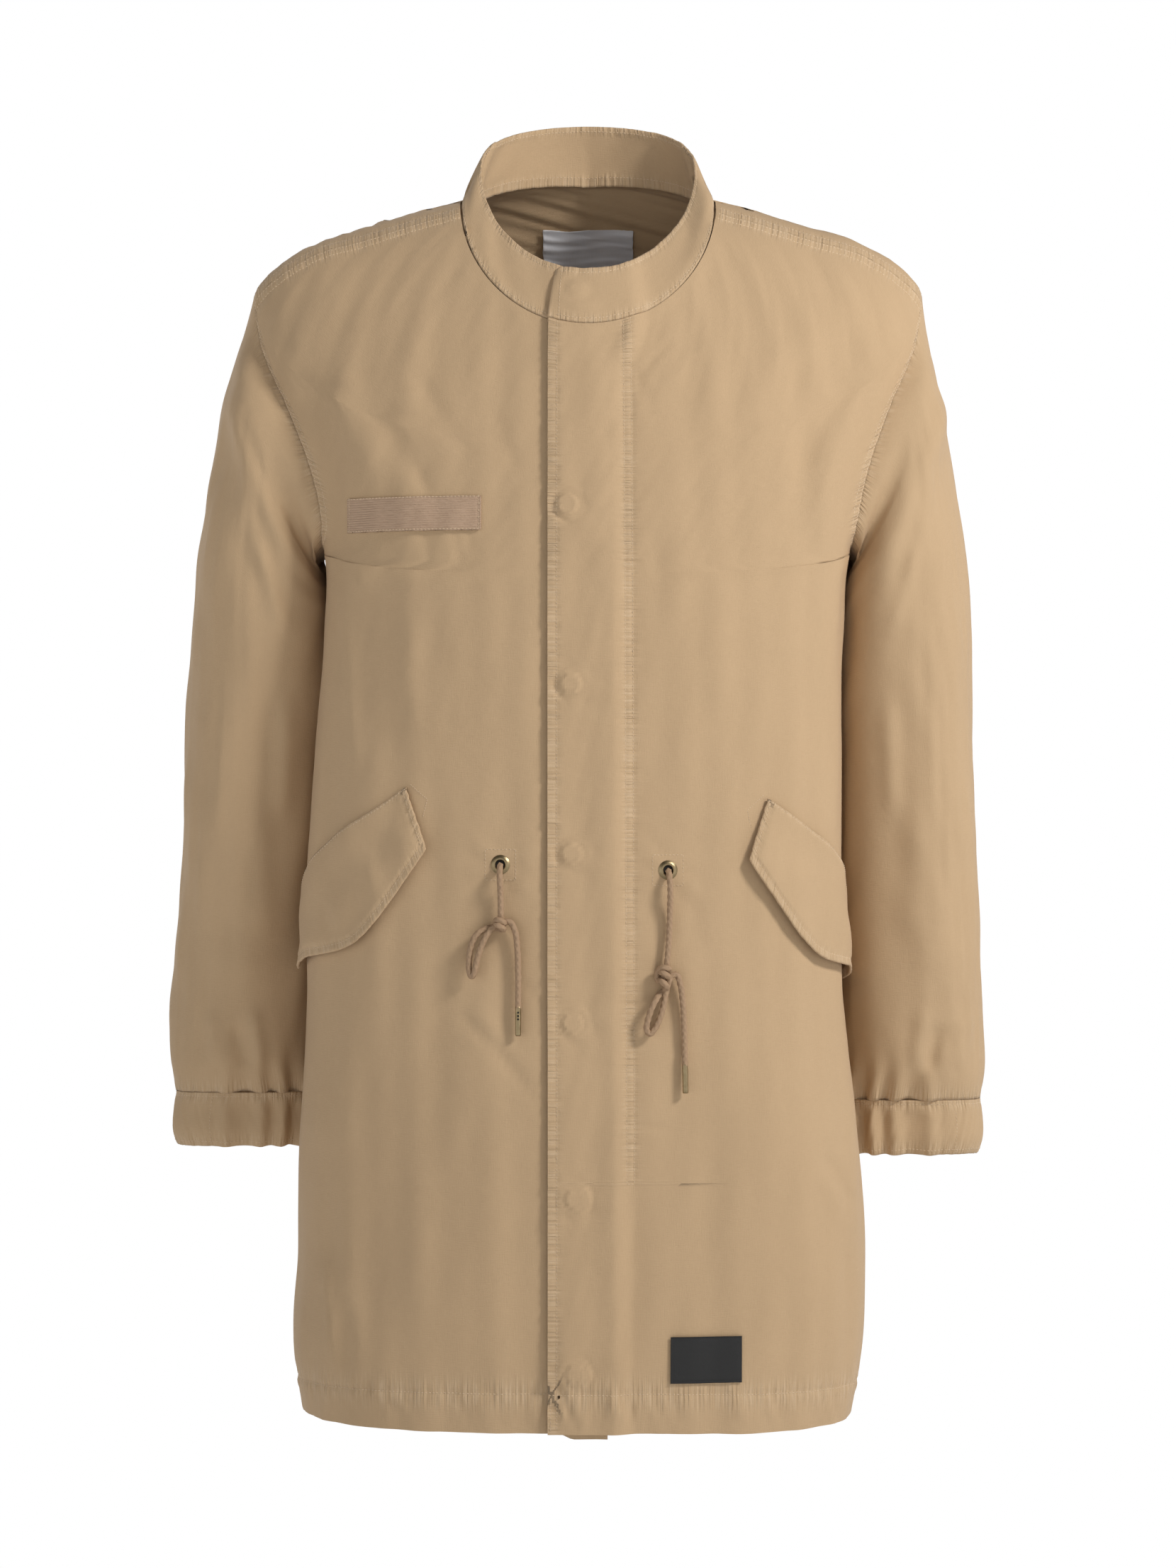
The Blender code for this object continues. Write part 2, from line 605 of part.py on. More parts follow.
def add_object(name, mesh, slot, is_smooth=True):
    obj = bpy.data.objects.new(name, mesh)
    bpy.context.scene.collection.objects.link(obj)
    mesh.materials.append(material(slot))
    if is_smooth:
        mesh.shade_smooth()
        mesh.set_sharp_from_angle(angle=math.radians(50))
    return obj


def wall(name, outer, inner, slot, closed=False):
    """A closed cloth wall between two grids of points in millimetres."""
    rows, columns = outer.shape[:2]
    mesh = bpy.data.meshes.new(name)
    bm = bmesh.new()
    faces = [[bm.verts.new(Vector(p * MM)) for p in side.reshape(-1, 3)] for side in (outer, inner)]
    last = columns if closed else columns - 1

    def at(layer, row, column):
        return faces[layer][row * columns + column % columns]

    for row in range(rows - 1):
        for column in range(last):
            square = ((row, column), (row, column + 1), (row + 1, column + 1), (row + 1, column))
            bm.faces.new([at(0, *corner) for corner in square])
            bm.faces.new([at(1, *corner) for corner in reversed(square)])
    for column in range(last):
        for row, way in ((0, 1), (rows - 1, -1)):
            rim = [at(0, row, column + 1), at(0, row, column), at(1, row, column), at(1, row, column + 1)]
            bm.faces.new(rim[::way])
    if not closed:
        for row in range(rows - 1):
            for column, way in ((0, 1), (columns - 1, -1)):
                rim = [at(0, row, column), at(0, row + 1, column), at(1, row + 1, column), at(1, row, column)]
                bm.faces.new(rim[::way])
    bmesh.ops.recalc_face_normals(bm, faces=bm.faces)
    bm.to_mesh(mesh)
    bm.free()
    return add_object(name, mesh, slot)


def make_panels():
    grids = {name: panel_grid(name) for name in ("front_right", "front_left", "back")}
    for name, (_, p, n) in grids.items():
        wall(name, p, p - n * CLOTH, "cloth")
    return grids


def make_sleeves():
    for word, side in (("right", -1), ("left", 1)):
        p, n, turns = sleeve_grid(side)
        _, body_n, across = armhole_loop(turns, side)
        inner = p - n * CLOTH
        inner[0] = seam_inner(p[0], n[0], body_n, across, CLOTH)
        wall(f"sleeve_{word}", p, inner, "cloth", closed=True)
        p, n = cuff_grid(side)
        wall(f"cuff_{word}", p, p - n * CLOTH, "cloth", closed=True)


def make_collar():
    p = collar_grid()
    n = grid_normals(p[::-1], False)[::-1]
    wall("collar", p, p - n * DOUBLE, "cloth")


def lay_on(name, panel, key, value, z, thick, stand, slot):
    """A flat piece on a panel: value and z are grids of places, and stand is how far it stands off."""
    _, points, _ = panel
    p = on_grid(points, key, value, z)
    n = grid_normals(p, False)
    n *= np.sign((n * (p - AXIS)).sum(-1, keepdims=True))
    under = p + n * (LYING + stand)[..., None]
    return wall(name, under + n * thick, under, slot)


def rectangle(centre, size, columns, rows):
    across = np.linspace(-0.5, 0.5, columns) * size[0] + centre[0]
    up = np.linspace(-0.5, 0.5, rows) * size[1] + centre[1]
    return np.meshgrid(across, up)


def make_flat_pieces(grids):
    for name, panel, centre, size, slot in (
        ("name_tape", "front_right", TAPE_CENTRE, TAPE_SIZE, "webbing"),
        ("hem_label", "front_left", PATCH_CENTRE, PATCH_SIZE, "leather"),
    ):
        x, z = rectangle(centre, size, 13, 4)
        lay_on(name, grids[panel], grids[panel][1][..., 0], x, z, CLOTH, np.zeros_like(x), slot)
    for word, panel in (("right", "front_right"), ("left", "front_left")):
        arc, z, stand = flap_outline()
        z = z - FLAP_LEFT_DROP * (word == "left")
        lay_on(f"pocket_flap_{word}", grids[panel], np.abs(grids[panel][0]), arc, z, DOUBLE, stand, "cloth")


def flap_outline():
    """Distances round the body, heights and stand-off of a pocket flap's grid, from its free edge up."""
    top, bottom = (spline(range(5), row, np.linspace(0, 4, 13)) for row in (FLAP_TOP, FLAP_BOTTOM))
    down = np.linspace(1, 0, 6)[:, None]
    grid = top + (bottom - top) * down[..., None]
    return grid[..., 0], grid[..., 1], FLAP_PUFF + FLAP_STAND * np.broadcast_to(down**2, grid.shape[:2])


def make_label(grids):
    _, points, normals = grids["back"]
    inner = points - normals * CLOTH
    x, drop = rectangle((0, -LABEL_SIZE[1] / 2), LABEL_SIZE, 7, 4)
    top = BODY[-1].back_z - LABEL_DROP
    p = on_grid(inner, inner[..., 0], x, top + drop * LABEL_STEEP)
    n = grid_normals(p, False)
    n *= np.sign((n * (AXIS - p)).sum(-1, keepdims=True))
    wall("neck_label", p + n * (LYING + LABEL_THICK), p + n * LYING, "label")


def make_ring(name, profile, centre, facing, sides, slot):
    """A ring made by turning closed (radius, height) points about an axis that faces out of the cloth."""
    facing = Vector(facing).normalized()
    across = facing.orthogonal().normalized()
    other = facing.cross(across)
    mesh = bpy.data.meshes.new(name)
    bm = bmesh.new()
    rings = []
    for i in range(sides):
        angle = 2 * math.pi * i / sides
        out = across * math.cos(angle) + other * math.sin(angle)
        rings.append([bm.verts.new((Vector(centre) + out * r + facing * h) * MM) for r, h in profile])
    count = len(profile)
    for i in range(sides):
        near, far = rings[i], rings[(i + 1) % sides]
        for k in range(count):
            bm.faces.new((near[k], near[(k + 1) % count], far[(k + 1) % count], far[k]))
    bmesh.ops.recalc_face_normals(bm, faces=bm.faces)
    bm.to_mesh(mesh)
    bm.free()
    return add_object(name, mesh, slot)


def make_disc(name, base, facing, radius, thick, sides):
    """A disc or a short rod that stands on base and points the way it faces."""
    mesh = bpy.data.meshes.new(name)
    bm = bmesh.new()
    bmesh.ops.create_cone(
        bm, cap_ends=True, segments=sides, radius1=radius * MM, radius2=radius * MM, depth=thick * MM
    )
    facing = Vector(facing).normalized()
    turn = facing.to_track_quat("Z", "Y").to_matrix()
    bmesh.ops.rotate(bm, verts=bm.verts, matrix=turn)
    bmesh.ops.translate(bm, verts=bm.verts, vec=(Vector(base) + facing * thick / 2) * MM)
    bm.to_mesh(mesh)
    bm.free()
    return add_object(name, mesh, "metal")


def front_of(grid, x, z, off):
    """A point this far in front of a front panel, and the cloth's outward direction there."""
    points = grid[1]
    key = points[..., 0]
    here, right, above = (
        on_grid(points, key, [x + dx], [z + dz])[0] for dx, dz in ((0, 0), (4, 0), (0, 4))
    )
    n = unit(np.cross(right - here, above - here))
    return here + n * off, n


def add_tube(name, grid, route):
    """A cord along a smooth curve through its route's places."""
    places = np.array([front_of(grid, x, z, off)[0] for x, z, off in route])
    knots = np.concatenate([[0], np.cumsum(np.linalg.norm(np.diff(places, axis=0), axis=1))])
    count = max(8, int(knots[-1] / CORD))
    points = spline(knots, places, np.linspace(0, knots[-1], count))
    curve = bpy.data.curves.new(name, "CURVE")
    curve.dimensions = "3D"
    curve.bevel_depth = CORD / 2 * MM
    curve.bevel_resolution = 2
    curve.use_fill_caps = True
    line = curve.splines.new("POLY")
    line.points.add(count - 1)
    for vertex, p in zip(line.points, points):
        vertex.co = (*(p * MM), 1)
    obj = bpy.data.objects.new(name, curve)
    bpy.context.scene.collection.objects.link(obj)
    curve.materials.append(material("cord"))
    return points


def add_knot(name, centre, half, seed):
    """The outer shape of a tightened knot."""
    mesh = bpy.data.meshes.new(name)
    bm = bmesh.new()
    bmesh.ops.create_uvsphere(bm, u_segments=14, v_segments=9, radius=1)
    for vertex in bm.verts:
        x, y, z = vertex.co
        bulge = 1 + 0.07 * math.sin(3 * math.atan2(z, x) + seed)
        vertex.co = (Vector(centre) + Vector((x * half[0], y * half[1], z * half[2])) * bulge) * MM
    bm.to_mesh(mesh)
    bm.free()
    return add_object(name, mesh, "cord")


def make_cords(grids):
    for word, seed in (("right", 0.4), ("left", 1.7)):
        grid = grids[f"front_{word}"]
        centre, out = front_of(grid, *EYELETS[word], LYING)
        rim, hole = EYELET_OUTER, EYELET_HOLE
        flat = (rim + hole) / 2
        profile = [(hole, 0), (hole, EYELET_THICK), (flat, EYELET_THICK), (rim, EYELET_THICK / 3), (rim, 0)]
        make_ring(f"eyelet_{word}", profile, centre, out, 20, "metal")
        add_tube(f"cord_drop_{word}", grid, DROPS[word])
        (x, z, off), half = KNOTS[word]
        add_knot(f"cord_knot_{word}", front_of(grid, x, z, off)[0], half, seed)
        add_tube(f"cord_loop_{word}", grid, LOOPS[word])
        tail = add_tube(f"cord_tail_{word}", grid, TAILS[word])
        way = unit(tail[-1] - tail[-2])
        make_disc(f"cord_tip_{word}", tail[-1] + way * SEAM, way, TIP_RADIUS, TIP_LENGTH, 12)


def make_snaps(grids):
    for i, z in enumerate(SNAP_HEIGHTS):
        place, out = front_of(grids["front_right"], SNAP_X, z, (FLAP_LIFT - CLOTH - SNAP_THICK) / 2)
        make_disc(f"snap_{i + 2}", place, out, SNAP_RADIUS, SNAP_THICK, 16)
    theta = angle_at_x(SNAP_X) + np.array([[0.0, -4.0], [0.0, -4.0]])
    under, beside, above = collar_surface(theta, np.array([[0.6, 0.6], [0.7, 0.7]])).reshape(4, 3)[:3]
    out = unit(np.cross(above - under, beside - under))
    gap = (FLAP_LIFT - DOUBLE - COLLAR_SNAP_THICK) / 2
    make_disc("snap_1", under + out * gap, out, SNAP_RADIUS, COLLAR_SNAP_THICK, 16)


def clear_scene():
    for obj in list(bpy.data.objects):
        bpy.data.objects.remove(obj)


def main():
    clear_scene()
    grids = make_panels()
    make_sleeves()
    make_collar()
    make_flat_pieces(grids)
    make_label(grids)
    make_cords(grids)
    make_snaps(grids)


main()
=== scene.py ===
"""The parka's cloth, sewing, waist cord and metal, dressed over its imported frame, with studio and camera.

All sizes in the tables are millimetres unless their name says otherwise; the scene itself is in metres.
The front faces -Y, +Z is up, and right and left are the wearer's, so the right side is at -X.
"""

import math
from collections import namedtuple

import bmesh
import bpy
import numpy as np
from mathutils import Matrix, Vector

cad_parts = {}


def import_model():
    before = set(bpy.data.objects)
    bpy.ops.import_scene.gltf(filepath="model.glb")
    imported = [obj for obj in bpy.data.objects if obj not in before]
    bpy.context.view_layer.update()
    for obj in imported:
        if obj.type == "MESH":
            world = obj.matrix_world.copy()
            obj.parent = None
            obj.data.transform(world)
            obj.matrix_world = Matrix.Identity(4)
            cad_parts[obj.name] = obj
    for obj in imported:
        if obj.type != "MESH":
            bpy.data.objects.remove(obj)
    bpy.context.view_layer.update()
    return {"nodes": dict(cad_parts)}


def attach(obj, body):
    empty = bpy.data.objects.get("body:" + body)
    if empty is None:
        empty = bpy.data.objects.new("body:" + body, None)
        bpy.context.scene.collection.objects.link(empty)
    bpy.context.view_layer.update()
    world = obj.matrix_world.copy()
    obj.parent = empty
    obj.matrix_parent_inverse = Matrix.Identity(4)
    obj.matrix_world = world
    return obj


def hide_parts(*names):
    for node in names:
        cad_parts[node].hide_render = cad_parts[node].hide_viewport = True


MM = 0.001

# Cloth and clearances
CLOTH = 1.2  # wall of one layer of cotton
DOUBLE = 2.0  # wall of two layers sewn together
SEAM = 0.3  # gap between pieces that are sewn edge to edge
NECK_TRIM = 1.2  # the panels end this far below the neck ring, where the collar stands on them
LYING = 0.6  # gap under a piece that is sewn flat on a panel
FELL = 8.0  # width of a felled seam
FELL_RISE = 0.5
FELL_BEND = 1.5  # width of the step beside a felled seam
HEM = 24.0  # depth of the turned-up hem
HEM_RISE = 0.5

# Front closing: the left front laps over the right one
FLAP_EDGE = -29.0  # free edge of the left front
UNDERLAP_EDGE = 14.0  # free edge of the right front, under the flap
COLLAR_UNDER_EDGE = 27.0  # the collar's inner end
FLAP_LIFT = 4.4  # the flap stands off this far up to LIFT_FULL, and lies on the body from LIFT_ENDS
LIFT_FULL = 17.0
LIFT_ENDS = 34.0
COLLAR_LIFT = 14.0  # both are this much further over at the neck
LIFT_SPREADS = 910.0  # from this station up
UNDERLAP_DROP = 4.0  # the right front's corner shows this far below the flap's hem
SNAP_X = -10.0
SNAP_HEIGHTS = (-233, -362, -484, -606, -732, -858)

# Horizontal rings of the body from the hem up; above the underarm they tilt and close in to the neck.
# station runs up the side; the heights are at the side, the centre front and the centre back. wide is
# the half width that the depth is shaped on away from the sides; it stays wide along the shoulder.
Section = namedtuple(
    "Section",
    "station side_z front_z back_z half_w wide front_y back_y shift_x side_y full_f full_b seam groove ridge",
)
BODY = (
    Section(0, -898, -902, -900, 203, 203, -134, 148, -8, -20, 2.4, 2.7, 110, 0, 0),
    Section(48, -850, -846, -850, 211, 211, -138, 150, -7, -25, 2.4, 2.8, 110, 3, 2),
    Section(118, -780, -778, -780, 210, 210, -140, 150, -4, -30, 2.4, 2.9, 110, 10, 8),
    Section(198, -700, -700, -700, 207, 207, -141, 148, -6, -38, 2.4, 3.0, 110, 20, 13),
    Section(298, -600, -602, -600, 199, 199, -140, 144, -9, -38, 2.4, 3.0, 109, 18, 10),
    Section(398, -500, -505, -500, 198, 199, -138, 140, -10, -36, 2.4, 2.9, 107, 15, 6),
    Section(488, -410, -420, -410, 195, 199, -138, 139, -7, -28, 2.4, 2.8, 103, 13, 2),
    Section(578, -320, -335, -320, 192, 202, -138, 140, -3, -14, 2.4, 2.7, 98, 9, 0),
    Section(636, -262, -283, -262, 195, 207, -138, 142, -1, -2, 2.4, 2.6, 94, 1, 0),
    Section(684, -215, -260, -218, 211, 217, -137, 143, 0, 2, 2.35, 2.5, 92, 0, 0),
    Section(736, -165, -237, -172, 228, 230, -136, 144, 0, 4, 2.3, 2.4, 90, 0, 0),
    Section(789, -112, -213, -126, 242, 244, -135, 144, 0, 4, 2.25, 2.35, 88, 0, 0),
    Section(833, -65, -190, -80, 250, 254, -134, 144, 0, 3, 2.2, 2.3, 86, 0, 0),
    Section(866, -41, -171, -46, 227, 259, -134, 144, 0, 2, 2.15, 2.2, 85, 0, 0),
    Section(892, -28, -155, -28, 202, 262, -134, 144, 0, 1, 2.1, 2.15, 85, 0, 0),
    Section(926, -18, -135, -13, 168, 264, -134, 144, 0, 0, 2.05, 2.1, 84, 0, 0),
    Section(968, -7, -116, 1, 128, 266, -134, 144, 0, -2, 2.0, 2.05, 84, 0, 0),
    Section(1002, 1, -100, 8, 94, 266, -134, 144, 0, -4, 2.0, 2.0, 84, 0, 0),
)
SHOULDER_START = -330.0  # the chest and the back begin to round over to the shoulder line here
SHOULDER_X = (0, 50, 94, 128, 168, 202, 227, 250, 262)
SHOULDER_Z = (25, 15, 1, -7, -18, -28, -41, -65, -81)
ROUND_FRONT = 2.0
ROUND_BACK = 3.2
HEM_DIP = 3.0  # the hem hangs this much lower on the wearer's left
NECK_RISE = 20.0  # the cloth round the back of the neck lies this much higher
UNDERARM = 636.0  # station of the underarm point
TIP = 833.0  # station of the shoulder tip
NECK = 1002.0
ARMHOLE_FRONT = 26.0  # degrees that the armhole reaches forward of the side line, and back of it
ARMHOLE_BACK = 24.0
GROOVE_Y = 15.0  # the hanging arms press a groove into each side, with the seam's ridge behind it
GROOVE_HALF = 28.0
RIDGE_Y = 66.0
RIDGE_HALF = 28.0

SLEEVE_TURN = 4.0  # the sleeve leaves the armhole over this length

# Rings of the right sleeve after the armhole, each between its outer and inner point seen from the front.
# tilt is how far a ring's front lies below its back.
Ring = namedtuple("Ring", "run outer_x outer_z inner_x inner_z mid_y half_d full tilt", defaults=(0,))
SLEEVE = (
    Ring(28, 262, -108, 198, -275, 8, 65, 2.1, 12),
    Ring(60, 270, -141, 196, -284, 8, 67, 2.1, 10),
    Ring(100, 279, -185, 194, -296, 8, 69, 2.1, 6),
    Ring(150, 288, -245, 192, -315, 10, 70, 2.15),
    Ring(215, 295, -320, 191, -355, 14, 68, 2.2),
    Ring(295, 302, -410, 194, -415, 18, 64, 2.2),
    Ring(372, 306, -490, 199, -490, 19, 58, 2.2),
    Ring(442, 310, -560, 202, -560, 19, 53, 2.2),
    Ring(497, 313, -615, 205, -615, 17, 47, 2.2),
    Ring(525, 313, -643, 207, -643, 15, 42, 2.2),
    Ring(547, 310, -664, 208, -664, 13, 31, 2.4),
)
CUFF = (
    Ring(0, 310, -664, 208, -664, 13, 31, 2.4),
    Ring(14, 312, -678, 208, -678, 13, 30, 2.5),
    Ring(30, 312, -694, 209, -694, 12, 29, 2.5),
    Ring(41, 309, -705, 211, -705, 12, 26, 2.5),
)
LEFT_LEAN = 15.0  # the left arm hangs this much closer at the cuff, and this much lower
LEFT_DROP = 6.0
CUFF_FLAT = (-70, 20)  # degrees round the cuff, from its outer edge towards the front, without gathers
GATHERS = 15
GATHER_DEPTH = 1.8
GATHER_STARTS = 14.0  # degrees past the flat part, and millimetres below the cuff's seam

# The collar's top edge; its foot is the body's neck ring
COLLAR_CORNER = 11.0
COLLAR_TOP = Section(0, 30, -57, 70, 80, 80, -85, 72, 0, 4, 2.0, 2.0, 84, 0, 0)
COLLAR_LEVEL = 0.75
COLLAR_SWELL = 1.5

# Folds as (ax, az, bx, bz, half width, height), from a to b on one face; a negative height is a trough
Fold = namedtuple("Fold", "face ax az bx bz half_w height")


def folds(front, back):
    return tuple(Fold(face, *row) for face, rows in (("front", front), ("back", back)) for row in rows)


BODY_FOLDS = folds(
    front=(
        (-206, -110, -176, -300, 18, -4), (206, -80, 146, -225, 16, -4), (186, -110, 168, -330, 14, 3),
        (-165, -280, -150, -430, 22, -3), (-60, -560, -75, -900, 34, 3), (-150, -600, -160, -880, 26, -4),
        (120, -560, 150, -880, 30, 3),
    ),
    back=(
        (-150, -170, -95, -420, 22, -4), (150, -170, 100, -400, 22, -4), (-60, -420, -90, -880, 36, 4),
        (70, -480, 95, -890, 36, 4), (0, -300, 4, -800, 40, -3),
    ),
)
SLEEVE_FOLDS = folds(
    front=(
        (-280, -150, -232, -330, 16, -4), (-232, -330, -226, -640, 18, -3), (-270, -400, -262, -620, 22, 2),
    ),
    back=(
        (-285, -190, -240, -380, 18, -4), (-275, -420, -240, -520, 18, -3),
    ),
)

# Pocket flap corners as (distance from the centre front round the body, height)
FLAP_TOP = ((131, -435), (163, -455), (199, -475), (235, -500), (268, -534))
FLAP_BOTTOM = ((115, -479), (143, -520), (172, -551), (222, -562), (262, -572))
FLAP_LEFT_DROP = 8.0  # the left flap sits this much lower
FLAP_PUFF = 0.9
FLAP_STAND = 4.0  # the flaps' free edges stand off this much further

# Sewn-on pieces, centres and sizes on the front
TAPE_CENTRE = (-126, -238)
TAPE_SIZE = (100, 25)
PATCH_CENTRE = (85, -849)
PATCH_SIZE = (53, 35)
LABEL_SIZE = (74, 68)
LABEL_DROP = 12.0  # from the neck seam to the label's top
LABEL_THICK = 0.8
LABEL_STEEP = 0.75  # the back slopes where the label lies, so its height is less than its length

# Waist drawcord ends. A route runs through (x, z, distance of its middle from the cloth).
CORD = 4.6
EYELET_OUTER = 7.0
EYELET_HOLE = 3.4
EYELET_THICK = 1.6
EYELETS = {"right": (-63, -492), "left": (57.5, -496)}
TIP_LENGTH = 21.0
TIP_RADIUS = 2.1

AXIS = np.array([0.0, 0.0, -400.0])  # a point inside the body, to tell outwards from inwards


# ---------------------------------------------------------------- curves and surfaces


def spline(knots, values, at):
    """A smooth curve through (knots, values), read at any array of places. values may hold rows."""
    knots, values, at = np.asarray(knots, float), np.asarray(values, float), np.asarray(at, float)
    slopes = np.gradient(values, knots, axis=0)
    i = np.clip(np.searchsorted(knots, at, side="right") - 1, 0, len(knots) - 2)
    span = knots[i + 1] - knots[i]
    t = (at - knots[i]) / span
    wide = (...,) + (None,) * (values.ndim - 1)
    t, span = t[wide], span[wide]
    return (
        values[i] * (2 * t**3 - 3 * t**2 + 1)
        + slopes[i] * span * (t**3 - 2 * t**2 + t)
        + values[i + 1] * (3 * t**2 - 2 * t**3)
        + slopes[i + 1] * span * (t**3 - t**2)
    )


def smooth(t):
    t = np.clip(t, 0, 1)
    return t * t * (3 - 2 * t)


def unit(v):
    return v / np.maximum(np.linalg.norm(v, axis=-1, keepdims=True), 1e-9)


def run_along(points):
    """The distance of each point from the first, along the line through them."""
    return np.concatenate([[0], np.cumsum(np.linalg.norm(np.diff(points, axis=0), axis=1))])


def section_at(station):
    rows = spline([s.station for s in BODY], np.array(BODY), station)
    return Section(*np.moveaxis(rows, -1, 0))


def ring_points(s, theta, level=1.0):
    """Points of a tilted superellipse ring. theta is in degrees, 0 at the front and 90 at the left side.

    level below 1 keeps the back of the ring nearly level and lets it fall away close to the sides.
    """
    angle = np.radians(theta)
    c, n = np.cos(angle), np.sin(angle)
    front = c >= 0
    power = 2 / np.where(front, s.full_f, s.full_b)
    x = s.shift_x + s.half_w * np.sign(n) * np.abs(n) ** power
    y = s.side_y + (np.where(front, s.front_y, s.back_y) - s.side_y) * np.abs(c) ** power
    front_share, back_share = np.abs(c), np.abs(c) ** level
    z = s.side_z + np.where(front, (s.front_z - s.side_z) * front_share, (s.back_z - s.side_z) * back_share)
    return np.stack([x, y, z], -1)


def fold_height(folds, points, facing):
    """How far the folds move each point out. facing is below 0 where the cloth faces the front."""
    out = np.zeros(points.shape[:-1])
    for f in folds:
        a, b = np.array([f.ax, f.az], float), np.array([f.bx, f.bz], float)
        along = b - a
        length = np.linalg.norm(along)
        off = points[..., [0, 2]] - a
        s = off @ along / length**2
        across = (off[..., 0] * along[1] - off[..., 1] * along[0]) / length
        taper = smooth(np.minimum(s, 1 - s) / 0.3)
        side = -facing if f.face == "front" else facing
        out += f.height * np.exp(-((across / f.half_w) ** 2)) * taper * smooth(side * 2.5)
    return out


def normal_of(surface, a, b, da=1.0, db=0.4):
    """The outward normal of surface(a, b), where a grows upwards and b to the wearer's left."""
    up = surface(a + da, b) - surface(a - da, b)
    round_it = surface(a, b + db) - surface(a, b - db)
    return unit(np.cross(round_it, up))


def body_base(station, theta):
    """The body without its folds: a ring whose depth also rounds over towards the shoulder line."""
    s = section_at(station)
    p = ring_points(s, theta)
    front = np.cos(np.radians(theta)) >= 0
    full, end_y, rounding = (
        np.where(front, a, b)
        for a, b in ((s.full_f, s.full_b), (s.front_y, s.back_y), (ROUND_FRONT, ROUND_BACK))
    )
    off = np.abs(p[..., 0] - s.shift_x)
    freed = np.maximum(smooth(np.abs(np.cos(np.radians(theta))) / 0.35), smooth((station - UNDERARM) / 60))
    wide = s.half_w + (s.wide - s.half_w) * freed
    across = np.clip(1 - (off / wide) ** full, 0, 1) ** (1 / full)
    ridge, at_side = (spline(SHOULDER_X, SHOULDER_Z, np.minimum(x, SHOULDER_X[-1])) for x in (off, s.half_w))
    top = ridge + (s.side_z - at_side) * (station >= TIP)
    rise = np.clip((p[..., 2] - SHOULDER_START) / (top - SHOULDER_START), 0, 1)
    over = (1 - rise**rounding) ** (1 / rounding)
    p[..., 1] = s.side_y + (end_y - s.side_y) * across * over
    p[..., 2] -= HEM_DIP * smooth((p[..., 0] - 30) / 120) * (1 - smooth(station / 80))
    p[..., 2] += NECK_RISE * np.exp(-((p[..., 0] / 120) ** 2) - ((p[..., 1] - 65) / 50) ** 2)
    return p


def body_surface(station, theta):
    s = section_at(station)
    p = body_base(station, theta)
    n = normal_of(body_base, station, theta)
    side = smooth(np.abs(n[..., 0]) * 1.6 - 0.4)
    dent = -s.groove * np.exp(-(((p[..., 1] - GROOVE_Y) / GROOVE_HALF) ** 2))
    bulge = s.ridge * np.exp(-(((p[..., 1] - RIDGE_Y) / RIDGE_HALF) ** 2))
    out = (dent + bulge) * side + fold_height(BODY_FOLDS, p, n[..., 1])
    return p + n * out[..., None]


def body_normal(station, theta):
    return normal_of(body_surface, station, theta)


def arc_tables(station):
    """Angles round one ring, with the distance of each from the centre front along the cloth."""
    theta = np.linspace(-180, 180, 1441)
    p = body_base(np.full_like(theta, station), theta)
    run = run_along(p)
    front = np.abs(theta) < 80
    return theta, run - np.interp(0, p[front, 0], run[front])


def armhole_turn(station):
    """0 at the underarm and pi at the shoulder tip; the armhole is an ellipse in this angle."""
    return np.arccos(np.clip(1 - 2 * (station - UNDERARM) / (TIP - UNDERARM), -1, 1))


def boundary(station, face):
    """The angle from the front at which a front or back panel ends: a seam, or the armhole."""
    open_by = np.sin(armhole_turn(station))
    reach = -ARMHOLE_FRONT if face == "front" else ARMHOLE_BACK
    return section_at(np.asarray(station, float)).seam + reach * open_by


def lift_bounds(station):
    further = COLLAR_LIFT * smooth((station - LIFT_SPREADS) / (NECK - LIFT_SPREADS))
    return LIFT_FULL + further, LIFT_ENDS + further


def lift(x, station):
    """How far the left front and the collar's outer end stand off, by distance from the centre front."""
    full, ends = lift_bounds(station)
    return FLAP_LIFT * smooth((ends - x) / (ends - full))


# ---------------------------------------------------------------- sleeves, cuffs and collar


def armhole_loop(turns, side):
    """Points of an armhole, their body normals and the way across the seam into the sleeve.

    turns runs from 0 at the underarm up the front to 180 at the shoulder tip and down the back to 360.
    """
    turns = np.asarray(turns, float)

    def place(at):
        front = at <= 180
        psi = np.radians(np.where(front, at, 360 - at))
        station = UNDERARM + (TIP - UNDERARM) * (1 - np.cos(psi)) / 2
        reach = np.where(front, -ARMHOLE_FRONT, ARMHOLE_BACK) * np.sin(psi)
        return station, side * (section_at(station).seam + reach)

    station, theta = place(turns)
    p, n = body_surface(station, theta), body_normal(station, theta)
    ahead, behind = (body_surface(*place((turns + d) % 360)) for d in (1.0, -1.0))
    across = unit(np.cross(n, unit(ahead - behind))) * -side
    return p, n, across


def sleeve_ring(r, turns, side):
    """Points of one sleeve or cuff ring on the wearer's right (side -1) or left (side 1)."""
    down = (SHOULDER_Z[-1] - (r.outer_z + r.inner_z) / 2) / (SHOULDER_Z[-1] - SLEEVE[-1].outer_z)
    lean = np.array([LEFT_LEAN * down**0.7, LEFT_DROP * down]) * (side > 0)
    outer, inner = np.array([r.outer_x, r.outer_z]) - lean, np.array([r.inner_x, r.inner_z]) - lean
    angle = np.radians(turns)
    power = 2 / r.full
    along = -np.sign(np.cos(angle)) * np.abs(np.cos(angle)) ** power
    depth = -np.sign(np.sin(angle)) * np.abs(np.sin(angle)) ** power
    middle, reach = (outer + inner) / 2, (outer - inner) / 2
    x = side * (middle[0] + reach[0] * along)
    return np.stack([x, r.mid_y + r.half_d * depth, middle[1] + reach[1] * along + r.tilt * depth], -1)


